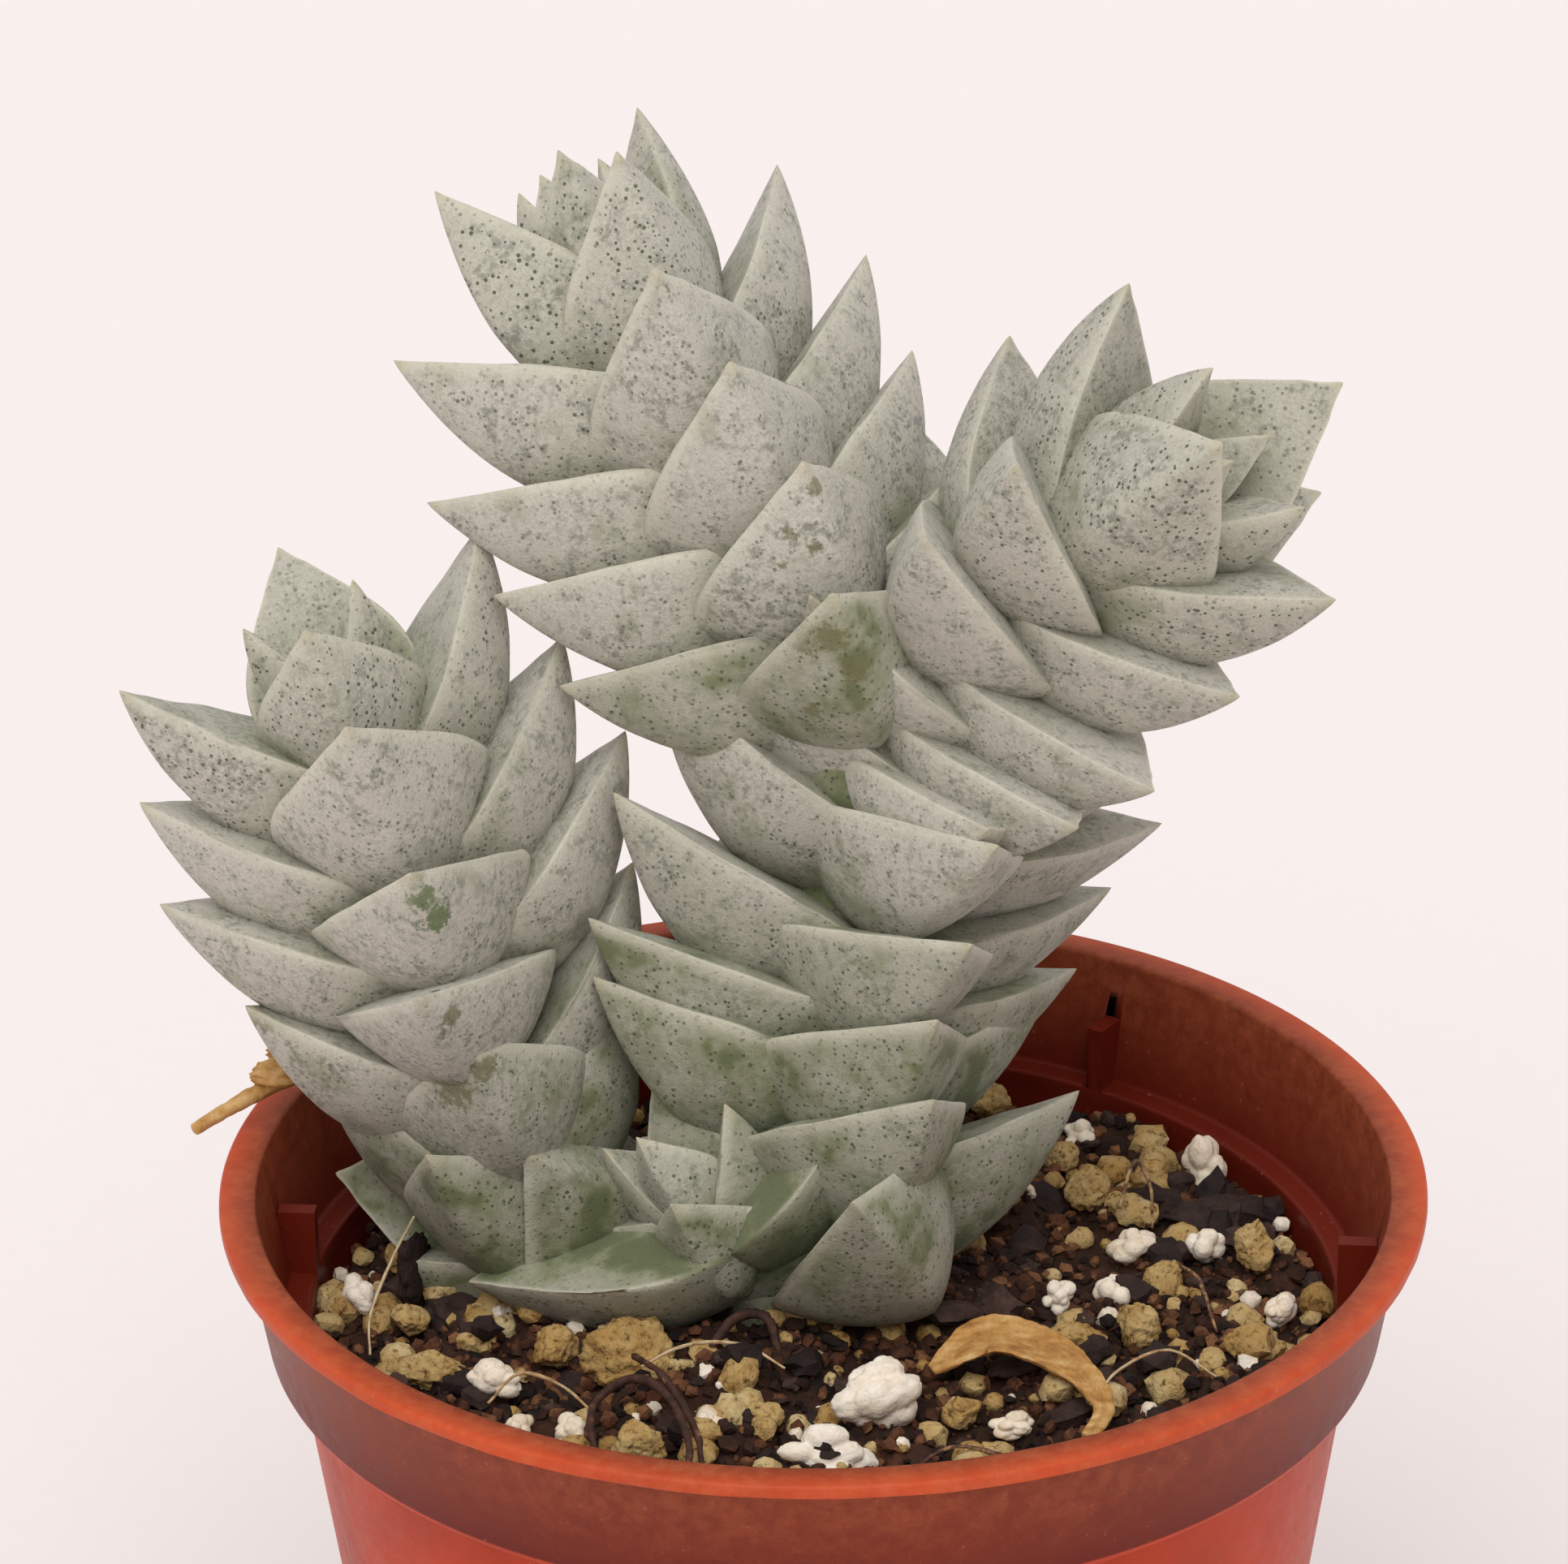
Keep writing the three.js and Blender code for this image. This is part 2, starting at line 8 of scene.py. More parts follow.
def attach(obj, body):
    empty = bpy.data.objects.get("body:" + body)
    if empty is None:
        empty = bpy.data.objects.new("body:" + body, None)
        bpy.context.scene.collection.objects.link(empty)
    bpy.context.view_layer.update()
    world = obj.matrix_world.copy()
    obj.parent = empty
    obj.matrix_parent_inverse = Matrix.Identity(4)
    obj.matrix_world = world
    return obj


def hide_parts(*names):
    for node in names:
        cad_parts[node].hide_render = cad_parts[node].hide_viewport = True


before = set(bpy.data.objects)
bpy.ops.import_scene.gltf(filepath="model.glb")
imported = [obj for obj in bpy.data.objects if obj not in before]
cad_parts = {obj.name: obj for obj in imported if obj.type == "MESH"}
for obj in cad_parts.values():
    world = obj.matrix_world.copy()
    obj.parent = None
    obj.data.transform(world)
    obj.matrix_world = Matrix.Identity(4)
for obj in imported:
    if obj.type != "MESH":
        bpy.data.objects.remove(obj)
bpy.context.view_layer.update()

mm = 0.001
scene = bpy.context.scene
scene.view_settings.view_transform = "Standard"


# Camera: lens centre in mm, degrees that it looks down along +Y, a very small roll, and the focal length in
# pixels of the photograph
view = {"place": (-1.71, -249.9, 188.96), "down": 24.46, "roll": -0.68, "focal": 7000, "photoWidth": 1932,
        "sensor": 36}

cameraData = bpy.data.cameras.new("Camera")
cameraData.sensor_width = view["sensor"]
cameraData.lens = view["sensor"] * view["focal"] / view["photoWidth"]
cameraData.clip_start = 0.01
camera = bpy.data.objects.new("Camera", cameraData)
scene.collection.objects.link(camera)
tilt = Matrix.Rotation(math.radians(90 - view["down"]), 4, "X")
roll = Matrix.Rotation(math.radians(view["roll"]), 4, "Z")
camera.matrix_world = Matrix.Translation(Vector(view["place"]) * mm) @ tilt @ roll
scene.camera = camera
print("camera placed")


# Helpers for numbers and noise
def between(points, x):
    # straight lines through [position, value] pairs
    return np.interp(x, [p[0] for p in points], [p[1] for p in points])


def unit(vectors):
    return vectors / np.linalg.norm(vectors, axis=-1, keepdims=True)


def easeStep(low, high, x):
    # 0 below low, 1 above high, and 3t^2 - 2t^3 between
    t = np.clip((x - low) / (high - low), 0, 1)
    return t * t * (3 - 2 * t)


def latticeNoise(points, cell, seed):
    # random values from -1 to 1 on a cubic lattice, blended inside each cell with the eased share 3t^2 - 2t^3
    spot = np.asarray(points, float) / cell
    low = np.floor(spot).astype(np.int64)
    share = spot - low
    share = share * share * (3 - 2 * share)
    total = np.zeros(spot.shape[:-1])
    for corner in range(8):
        step = np.array([corner & 1, corner >> 1 & 1, corner >> 2 & 1])
        key = (low + step) @ np.array([73856093, 19349663, 83492791]) + seed * 15485863
        key = (key ^ (key >> 15)) * 668265263 & 0x7FFFFFFF
        key = (key ^ (key >> 13)) * 1274126177 & 0x7FFFFFFF
        value = (key & 0xFFFF) / 32767.5 - 1
        total += np.prod(np.where(step == 1, share, 1 - share), axis=-1) * value
    return total


def layeredNoise(points, cell, seed, layers=3):
    # each layer has half the cell and half the height of the one before
    return sum(latticeNoise(points, cell / 2 ** i, seed + i) / 2 ** i for i in range(layers))


# Helpers for meshes
def tubeFaces(rings, sides):
    # squares between neighbouring rings of points, and triangles to the two end points that follow the rings
    i, j = np.meshgrid(np.arange(rings - 1), np.arange(sides), indexing="ij")
    a, b = i * sides + j, i * sides + (j + 1) % sides
    squares = np.stack([a, b, b + sides, a + sides], -1).reshape(-1, 4)
    count, a = rings * sides, np.arange(sides)
    b = (a + 1) % sides
    first = np.stack([np.full(sides, count), b, a], -1)
    last = np.stack([np.full(sides, count + 1), count - sides + a, count - sides + b], -1)
    return [squares, np.concatenate([first, last])]


def circle(sides):
    # cosine and sine round a full turn
    angle = np.linspace(0, 2 * np.pi, sides, endpoint=False)
    return np.cos(angle), np.sin(angle)


def joined(parts):
    # several sets of points and faces as one
    points, squares, triangles, offset = [], [], [], 0
    for every, faces in parts:
        points.append(every)
        squares.append(faces[0] + offset)
        triangles.append(faces[1] + offset)
        offset += len(every)
    return np.concatenate(points), [np.concatenate(squares), np.concatenate(triangles)]


def setValues(mesh, values):
    for key, value in values.items():
        layer = mesh.attributes.new(key, "FLOAT", "POINT")
        layer.data.foreach_set("value", np.asarray(value, np.float32).ravel())


def makePiece(name, points, faces, material, values=None, sharp=None):
    # points in mm; faces is a list of arrays of corner numbers; values are named numbers, one per point;
    # edges steeper than sharp degrees stay sharp
    mesh = bpy.data.meshes.new(name)
    points = np.asarray(points, float).reshape(-1, 3)
    mesh.vertices.add(len(points))
    mesh.vertices.foreach_set("co", (points * mm).ravel())
    corners = np.concatenate([f.ravel() for f in faces]).astype(np.int32)
    sizes = np.concatenate([np.full(len(f), f.shape[1]) for f in faces])
    mesh.loops.add(len(corners))
    mesh.loops.foreach_set("vertex_index", corners)
    mesh.polygons.add(len(sizes))
    mesh.polygons.foreach_set("loop_start", np.concatenate([[0], np.cumsum(sizes)[:-1]]).astype(np.int32))
    mesh.update(calc_edges=True)
    mesh.validate()
    mesh.shade_smooth()
    if sharp:
        mesh.set_sharp_from_angle(angle=math.radians(sharp))
    setValues(mesh, values or {})
    mesh.materials.append(material)
    piece = bpy.data.objects.new(name, mesh)
    scene.collection.objects.link(piece)
    return piece


def finishPiece(piece, nodes=()):
    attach(piece, "root")
    if nodes:
        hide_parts(*nodes)
    print(piece.name, len(piece.data.polygons), "faces")


# Helpers for materials
def linear(hexColour):
    # sRGB hex to linear: c / 12.92 when dark, else ((c + 0.055) / 1.055) ^ 2.4
    channels = [int(hexColour[i:i + 2], 16) / 255 for i in (1, 3, 5)]
    return tuple(c / 12.92 if c <= 0.04045 else ((c + 0.055) / 1.055) ** 2.4 for c in channels) + (1,)


def add(tree, kind, settings=None, *values, **named):
    # one node with its settings; values fill its shown inputs in order, named ones by name; a node or a
    # socket is linked, and a text is a hex colour
    node = tree.nodes.new("ShaderNode" + kind)
    for key, value in (settings or {}).items():
        setattr(node, key, value)
    sockets = [s for s in node.inputs if s.enabled]
    pairs = list(zip(sockets, values)) + [(node.inputs[k.replace("_", " ")], v) for k, v in named.items()]
    for socket, value in pairs:
        if isinstance(value, bpy.types.Node):
            value = next(o for o in value.outputs if o.enabled)
        if isinstance(value, bpy.types.NodeSocket):
            tree.links.new(value, socket)
        else:
            socket.default_value = linear(value) if isinstance(value, str) else value
    return node


def noise(tree, place, scale, detail, roughness):
    return add(tree, "TexNoise", None, place, Scale=scale, Detail=detail, Roughness=roughness).outputs["Fac"]


def ranged(tree, value, *ends):
    # from the first two numbers to the last two in a straight line
    return add(tree, "MapRange", None, value, *ends)


def eased(tree, value, *ends):
    # from the first two numbers to the last two, eased at both ends
    return add(tree, "MapRange", {"interpolation_type": "SMOOTHSTEP"}, value, *ends)


def reckon(tree, kind, *values):
    return add(tree, "Math", {"operation": kind}, *values)


def product(tree, *values):
    return reckon(tree, "MULTIPLY", *values)


def summed(tree, *values):
    return reckon(tree, "ADD", *values)


def blend(tree, share, first, second):
    return add(tree, "Mix", {"data_type": "RGBA"}, share, first, second)


def newMaterial(name):
    # a material with its output, and the object's own coordinates in millimetres
    material = bpy.data.materials.new(name)
    material.use_nodes = True
    tree = material.node_tree
    tree.nodes.clear()
    place = add(tree, "TexCoord").outputs["Object"]
    inMm = add(tree, "VectorMath", {"operation": "SCALE"}, place, Scale=1 / mm)
    return material, tree, inMm


def closeMaterial(tree, colour, rough, ior, bump):
    # the surface and the output of a material
    shader = add(tree, "BsdfPrincipled", None, Base_Color=colour, Roughness=rough, IOR=ior, Normal=bump)
    add(tree, "OutputMaterial", None, shader)
    return shader


# Leaf skin: a living leaf under a chalky wax bloom, dull, dotted with dark pores about 0.2 mm across
leafLook = {
    "bloom": "#CDC8BA", "bloomShade": "#85857A", "green": "#7D825A", "deepGreen": "#4A5832",
    "dots": "#545C42", "margin": "#D8D3BF", "callus": "#C4BC9E", "stain": "#6F6B42", "fresh": "#5F723C",
    "scar": "#4B2A1C", "roughness": 0.62, "ior": 1.42, "relief": 0.0001, "sheen": 0.15, "sheenRoughness": 0.6,
    "edges": (("stain", 0.35, 0.6, 0.75), ("fresh", 0.3, 0.6, 0.85), ("scar", 0.4, 0.5, 1.0)),
}
# Marks on the skin: x, y, z and radius in mm. Stains are olive where the bloom is rubbed off.
leafMarks = {
    "stain": [
        [-0.1, 1.5, 90.0, 0.4], [-1.3, 1.7, 87.6, 0.45], [-0.1, 1.5, 87.1, 0.45], [-1.6, 1.8, 86.1, 0.35],
        [-3.3, 2.7, 83.8, 0.4], [-0.7, 0.1, 83.1, 1.0], [0.6, -0.7, 83.3, 0.8], [1.8, -0.6, 81.5, 0.75],
        [2.8, 0.5, 80.2, 0.3], [-0.2, 0.8, 78.9, 0.5], [-18.0, -5.5, 65.8, 0.6], [-18.4, -5.9, 65.1, 0.3],
        [-17.4, -4.5, 64.6, 0.35], [-28.3, 2.6, 61.9, 0.7], [-27.4, 2.1, 61.5, 0.45], [-26.0, 1.6, 60.7, 0.5],
        [-24.5, 0.9, 60.3, 0.45], [-17.9, -2.6, 60.5, 1.1], [-16.5, -3.7, 61.8, 0.6],
    ],
    "fresh": [[-19.2, -5.7, 73.3, 0.4], [-19.0, -5.6, 72.1, 0.6], [-18.5, -5.0, 70.8, 0.7]],
    "scar": [[-18.6, -5.6, 67.0, 0.25]],
}


def markField(tree, place, spots):
    # 1 in the middle of each mark, falling to 0 at twice its radius; the highest of all marks
    field = None
    for x, y, z, radius in spots:
        distance = add(tree, "VectorMath", {"operation": "DISTANCE"}, place, (x, y, z))
        near = ranged(tree, distance.outputs["Value"], 0.0, 2 * radius, 1.0, 0.0)
        field = reckon(tree, "MAXIMUM", field, near) if field else near
    return field


def leafMaterial():
    look = leafLook
    material, tree, place = newMaterial("Waxy leaf skin")
    value = {key: add(tree, "Attribute", {"attribute_name": key}).outputs["Fac"]
             for key in ("margin", "tip", "axil", "young", "old", "upper", "mark", "reach")}
    wide = noise(tree, place, 0.3, 3.0, 0.55)
    cloud = noise(tree, place, 0.75, 4.0, 0.6)
    fine = noise(tree, place, 2.4, 6.0, 0.72)
    # bands across a leaf, one or two to a leaf, set apart by its own number
    bandPlace = add(tree, "CombineXYZ", None, product(tree, value["reach"], 0.7),
                    product(tree, value["mark"], 40.0), product(tree, cloud, 2.5))
    band = noise(tree, bandPlace, 1.0, 3.0, 0.6)
    # grey mottling where the wax is thin: fine grains inside cloudy patches and bands
    patchy = eased(tree, reckon(tree, "MAXIMUM", band, cloud), 0.47, 0.66, 0.12, 0.9)
    mottle = product(tree, eased(tree, fine, 0.42, 0.6, 0.0, 1.0), patchy)
    skin = blend(tree, mottle, look["bloom"], look["bloomShade"])
    # chalky grains of 0.15 mm all over
    chalk = noise(tree, place, 6.0, 4.0, 0.75)
    skin = blend(tree, eased(tree, chalk, 0.42, 0.62, 0.0, 0.3), skin, look["bloomShade"])
    # greener on upper faces towards the axil, on the youngest and oldest leaves and in wide patches; at the
    # axils the green is partly painted shade under the overlapping leaves
    green = product(tree, value["axil"], ranged(tree, value["upper"], 0.0, 1.0, 0.4, 1.0))
    green = product(tree, green, ranged(tree, wide, 0.3, 0.65, 0.45, 1.15))
    green = summed(tree, green, product(tree, value["young"], 0.16))
    green = summed(tree, green, product(tree, value["old"], eased(tree, wide, 0.35, 0.65, 0.35, 0.85)))
    green = summed(tree, green, eased(tree, wide, 0.55, 0.7, 0.0, 0.35))
    skin = blend(tree, green, skin, look["green"])
    # darkest green where the green share is highest: partly the leaf's own deep green on old leaves and in
    # patches, partly painted shade at the axils under overlapping leaves
    skin = blend(tree, eased(tree, green, 0.75, 1.3, 0.0, 0.55), skin, look["deepGreen"])
    # dots: one pore to each 0.38 mm cell, small and dark, plainest on young and old leaves and near the base
    pores = add(tree, "TexVoronoi", {"feature": "F1"}, place, Scale=2.6, Randomness=0.95)
    size = ranged(tree, add(tree, "SeparateColor", None, pores.outputs["Color"]), 0.0, 1.0, 0.18, 0.31)
    dot = eased(tree, reckon(tree, "SUBTRACT", size, pores.outputs["Distance"]), -0.02, 0.07, 0.0, 1.0)
    share = summed(tree, product(tree, value["young"], 0.9), product(tree, value["axil"], 0.6))
    share = summed(tree, share, product(tree, value["old"], 0.45))
    share = summed(tree, share, eased(tree, cloud, 0.42, 0.6, 0.25, 0.7))
    share = product(tree, share, ranged(tree, value["upper"], 0.0, 1.0, 1.0, 0.45))
    share.use_clamp = True
    skin = blend(tree, product(tree, dot, share), skin, look["dots"])
    # rubbed, fresh and scarred places, each with a ragged edge
    ragged = ranged(tree, fine, 0.3, 0.7, -0.3, 0.3)
    for kind, low, high, most in look["edges"]:
        field = summed(tree, markField(tree, place, leafMarks[kind]), ragged)
        skin = blend(tree, eased(tree, field, low, high, 0.0, most), skin, look[kind])
    # pale line on the margins and a pale callus at the tip
    edge = product(tree, value["margin"], ranged(tree, fine, 0.3, 0.7, 0.35, 0.8))
    skin = blend(tree, edge, skin, look["margin"])
    skin = blend(tree, product(tree, value["tip"], 0.6), skin, look["callus"])
    height = reckon(tree, "SUBTRACT", summed(tree, chalk, fine), product(tree, dot, 0.5))
    bump = add(tree, "Bump", None, Strength=0.6, Distance=look["relief"], Height=height)
    shader = closeMaterial(tree, skin, look["roughness"], look["ior"], bump)
    shader.inputs["Sheen Weight"].default_value = look["sheen"]
    shader.inputs["Sheen Roughness"].default_value = look["sheenRoughness"]
    return material


# Pot plastic: injection-moulded polypropylene, satin, dusty, with hard-water marks and painted light at the
# lip and painted shade inside
potLook = {"plastic": "#C4401C", "wornAndLit": "#CE7048", "deep": "#521811", "dust": "#C68F76", "ior": 1.49,
           "gloss": 0.15, "relief": 0.00008}


def potMaterial():
    look = potLook
    material, tree, place = newMaterial("Moulded polypropylene")
    lip = add(tree, "Attribute", {"attribute_name": "lip"}).outputs["Fac"]
    inside = add(tree, "Attribute", {"attribute_name": "inside"}).outputs["Fac"]
    cloud = noise(tree, place, 0.12, 4.0, 0.6)
    scuff = noise(tree, place, 0.9, 8.0, 0.75)
    speck = noise(tree, place, 4.5, 2.0, 0.5)
    # slow clouds of darker plastic, and painted shade darkening the whole inside
    colour = blend(tree, eased(tree, cloud, 0.35, 0.75, 0.0, 0.3), look["plastic"], look["deep"])
    colour = blend(tree, product(tree, inside, 0.85), colour, look["deep"])
    # a lighter lip, partly real scuffs and partly painted light on its lit top, and specks of dried dust
    wornAndLit = product(tree, lip, eased(tree, scuff, 0.35, 0.7, 0.2, 0.5))
    colour = blend(tree, wornAndLit, colour, look["wornAndLit"])
    dusty = product(tree, eased(tree, speck, 0.66, 0.74, 0.0, 1.0), eased(tree, scuff, 0.5, 0.6, 0.0, 0.35))
    colour = blend(tree, dusty, colour, look["dust"])
    bump = add(tree, "Bump", None, Strength=0.12, Distance=look["relief"], Height=scuff)
    rough = ranged(tree, scuff, 0.3, 0.7, 0.34, 0.5)
    shader = closeMaterial(tree, colour, rough, look["ior"], bump)
    shader.inputs["Specular IOR Level"].default_value = look["gloss"]
    return material


# Dull minerals, soil and dead tissue
def grainMaterial(name, look):
    # colours by a number of each point and by patches of noise, with painted shade darkening the dents of a
    # fine grain that also bumps the surface
    material, tree, place = newMaterial(name)
    tint = add(tree, "Attribute", {"attribute_name": "tint"}).outputs["Fac"]
    patches = noise(tree, place, look["patch"], 5.0, 0.65)
    fine = noise(tree, place, look["grain"], 4.0, 0.7)
    spread = summed(tree, tint, ranged(tree, patches, 0.3, 0.7, -0.3, 0.3))
    ramp = add(tree, "ValToRGB", None, spread)
    stops, colours = ramp.color_ramp.elements, look["colours"]
    for stop, (position, colour) in ((stops[0], colours[0]), (stops[1], colours[-1])):
        stop.position, stop.color = position, linear(colour)
    for position, colour in colours[1:-1]:
        stops.new(position).color = linear(colour)
    # painted shade: darker where the fine grain dips
    pitShade = eased(tree, fine, 0.3, 0.48, look["pitShade"], 0.0)
    colour = blend(tree, pitShade, ramp.outputs["Color"], look["pitShadeColour"])
    bump = add(tree, "Bump", None, Strength=0.7, Distance=look["relief"], Height=fine)
    shader = closeMaterial(tree, colour, look["roughness"], 1.45, bump)
    shader.inputs["Specular IOR Level"].default_value = look["gloss"]
    return material


# Damp peat and composted bark
soilLook = {
    "patch": 0.7, "grain": 4.0, "pitShade": 0.6, "pitShadeColour": "#140D0A", "relief": 0.0003, "roughness": 0.9,
    "gloss": 0.35, "colours": [(0.0, "#1F1410"), (0.45, "#43291C"), (0.75, "#69402A"), (1.0, "#8C6040")],
}
# Expanded volcanic glass, chalk white with a warm dust
perliteLook = {
    "patch": 1.2, "grain": 3.5, "pitShade": 0.25, "pitShadeColour": "#A58C74", "relief": 0.00015, "roughness": 0.95,
    "gloss": 0.2, "colours": [(0.0, "#D8BF9F"), (0.4, "#F6E6CF"), (1.0, "#FEF7EC")],
}
# Weathered ochre pumice, full of pores darkened by painted shade
pumiceLook = {
    "patch": 0.6, "grain": 2.4, "pitShade": 0.85, "pitShadeColour": "#472A16", "relief": 0.0004, "roughness": 0.95,
    "gloss": 0.2, "colours": [(0.0, "#8C6434"), (0.35, "#B48F55"), (0.7, "#C9AC76"), (1.0, "#DAC596")],
}
# Old conifer bark, nearly black
barkLook = {
    "patch": 0.9, "grain": 2.6, "pitShade": 0.4, "pitShadeColour": "#120C0A", "relief": 0.00025, "roughness": 0.8,
    "gloss": 0.4, "colours": [(0.0, "#1F1513"), (0.5, "#33231F"), (1.0, "#4E3830")],
}
# Dead leaf and stalk tissue, papery and tan
dryLook = {
    "patch": 0.9, "grain": 2.4, "pitShade": 0.35, "pitShadeColour": "#7A4E26", "relief": 0.00012, "roughness": 0.7,
    "gloss": 0.4, "colours": [(0.0, "#8A5A30"), (0.5, "#BE8C4C"), (1.0, "#DDB77E")],
}
# Old roots, from pale straw to dark brown
rootLook = {
    "patch": 1.5, "grain": 3.0, "pitShade": 0.2, "pitShadeColour": "#5E3A22", "relief": 0.0001, "roughness": 0.75,
    "gloss": 0.4, "colours": [(0.0, "#33201A"), (0.3, "#56352A"), (0.6, "#B89468"), (1.0, "#D9C4A0")],
}

leafSkin, potPlastic = leafMaterial(), potMaterial()
soilMix = grainMaterial("Damp potting mix", soilLook)
perliteStone = grainMaterial("Perlite", perliteLook)
pumiceStone = grainMaterial("Ochre pumice", pumiceLook)
barkPiece = grainMaterial("Conifer bark", barkLook)
dryTissue = grainMaterial("Dry leaf tissue", dryLook)
rootFibre = grainMaterial("Root fibre", rootLook)
print("materials made")


# Pot: the driving sizes of the moulded shell, in mm
pot = {
    "height": 54, "lipRadius": 30, "lipInner": 28.2, "lipThickness": 0.7, "collarTop": 29, "collarFoot": 27.9,
    "collarFootHeight": 46.7, "footRadius": 20.3, "taper": 0.136, "wall": 0.9, "base": 1.2, "ledge": 47.4,
    "ledgeOuter": 27, "sides": 240, "cornerRound": 0.25, "cornerSteps": 5, "flash": 0.14,
    "footBevel": 0.5, "collarDrop": 0.9, "collarBevel": 0.6, "ledgeThickness": 1.2, "flashReach": 0.12,
    "ribs": 6, "firstRib": -5, "ribThick": 0.9, "ribTall": 3.5, "ribDeep": 1.5, "ribBite": 0.4,
    "ribSink": 0.15, "holes": 6, "holeRadius": 2.2, "holeCircle": 12.5, "holeSides": 40,
}


def wallRadius(height):
    # inner radius of the tapered wall
    return pot["footRadius"] + pot["taper"] * height - pot["wall"]


def roundedProfile(corners, reach, steps):
    # each corner becomes a quadratic curve between two points set back from it by the reach
    corners = np.asarray(corners, float)
    line = [corners[:1]]
    share = np.linspace(0, 1, steps)[:, None]
    for before, corner, after in zip(corners[:-2], corners[1:-1], corners[2:]):
        back, onward = before - corner, after - corner
        start = corner + back * min(0.45, reach / np.linalg.norm(back))
        end = corner + onward * min(0.45, reach / np.linalg.norm(onward))
        line.append((1 - share) ** 2 * start + 2 * share * (1 - share) * corner + share ** 2 * end)
    line.append(corners[-1:])
    return np.concatenate(line)


def potProfile():
    # radius and height of each corner, from the underside's middle over the lip to the inner floor's middle
    p, bevel = pot, pot["footBevel"]
    top, lipUnder = p["height"], p["height"] - p["lipThickness"]
    bodyTop, stepFoot = p["collarFootHeight"] - p["collarDrop"], p["ledge"] - p["ledgeThickness"]
    return [
        (0, 0), (p["footRadius"] - bevel, 0), (p["footRadius"], bevel),
        (p["footRadius"] + p["taper"] * bodyTop, bodyTop),
        (p["collarFoot"] - p["collarBevel"], p["collarFootHeight"] - bevel),
        (p["collarFoot"], p["collarFootHeight"]), (p["collarTop"], lipUnder), (p["lipRadius"], lipUnder),
        (p["lipRadius"], top), (p["lipInner"], top), (p["ledgeOuter"], p["ledge"]),
        (wallRadius(stepFoot), p["ledge"]), (wallRadius(stepFoot), stepFoot),
        (wallRadius(p["base"]), p["base"]), (0, p["base"]),
    ]


def potCutters():
    # the drain holes, to be cut out, and the stacking ribs, to be joined on
    p = pot
    cutters = []
    for i in range(p["holes"]):
        turn = 2 * math.pi * (i + 0.5) / p["holes"]
        spot = Vector((p["holeCircle"] * math.cos(turn), p["holeCircle"] * math.sin(turn), p["base"] / 2))
        bpy.ops.mesh.primitive_cylinder_add(vertices=p["holeSides"], radius=p["holeRadius"] * mm,
                                            depth=4 * p["base"] * mm, location=spot * mm)
        cutters.append((bpy.context.object, "DIFFERENCE"))
    for i in range(p["ribs"]):
        turn = math.radians(p["firstRib"] + 360 / p["ribs"] * i)
        reach = p["ledgeOuter"] - p["ribDeep"] / 2 + p["ribBite"]
        height = p["ledge"] + p["ribTall"] / 2 - p["ribSink"]
        spot = Vector((reach * math.cos(turn), reach * math.sin(turn), height))
        bpy.ops.mesh.primitive_cube_add(size=1, location=spot * mm, rotation=(0, 0, turn))
        rib = bpy.context.object
        size = Vector((p["ribDeep"] + p["ribBite"], p["ribThick"], p["ribTall"] + 2 * p["ribSink"]))
        rib.scale = size * mm
        cutters.append((rib, "UNION"))
    return cutters


def buildPot():
    p = pot
    top, lipUnder = p["height"], p["height"] - p["lipThickness"]
    line = roundedProfile(potProfile(), p["cornerRound"], p["cornerSteps"])
    cosine, sine = circle(p["sides"])
    rim = p["lipRadius"] * np.stack([cosine, sine, 0 * sine], -1)
    radius, height = line[1:-1, 0][:, None], line[1:-1, 1][:, None]
    # the mould's parting line leaves a thin ragged flash on the lip's lower outer edge
    ragged = 0.5 + 0.5 * layeredNoise(rim, 3.0, 5, 5)
    fromFlash = (radius - p["lipRadius"]) ** 2 + (height - lipUnder) ** 2
    atFlash = np.exp(-fromFlash / p["flashReach"] ** 2)
    wobble = 0.12 * latticeNoise(rim, 24.0, 9)
    radius = radius + p["flash"] * atFlash * ragged + wobble * (height / top) ** 2
    points = np.stack([radius * cosine, radius * sine, height + 0 * radius], -1)
    every = np.concatenate([points.reshape(-1, 3), [[0, 0, line[0, 1]], [0, 0, line[-1, 1]]]])
    piece = makePiece("potShell", every, tubeFaces(len(line) - 2, p["sides"]), potPlastic)
    cutters = potCutters()
    for cutter, how in cutters:
        step = piece.modifiers.new("join", "BOOLEAN")
        step.operation, step.object, step.solver = how, cutter, "EXACT"
    graph = bpy.context.evaluated_depsgraph_get()
    piece.data = bpy.data.meshes.new_from_object(piece.evaluated_get(graph))
    piece.modifiers.clear()
    for cutter, _ in cutters:
        bpy.data.objects.remove(cutter)
    mesh = piece.data
    mesh.name = piece.name
    mesh.materials.clear()
    mesh.materials.append(potPlastic)
    spots = np.empty(len(mesh.vertices) * 3)
    mesh.vertices.foreach_get("co", spots)
    spots = spots.reshape(-1, 3) / mm
    # where the lip, with its scuffs and painted light, and the inside, with its painted shade, are: the
    # inside is nearer the axis than the middle of the wall
    across, height = np.hypot(spots[:, 0], spots[:, 1]), spots[:, 2]
    middle = p["footRadius"] + p["taper"] * height + 0.3 + 1.8 * (height > p["ledge"] - 0.5)
    nearLip = easeStep(p["lipInner"] - 1, p["lipInner"], across)
    setValues(mesh, {
        "lip": easeStep(lipUnder - 1.2, lipUnder, height) * nearLip,
        "inside": easeStep(0.2, 0.6, middle - across) * (height > 0.6),
    })
    mesh.shade_smooth()
    mesh.set_sharp_from_angle(angle=math.radians(40))
    finishPiece(piece, ["pot"])


buildPot()


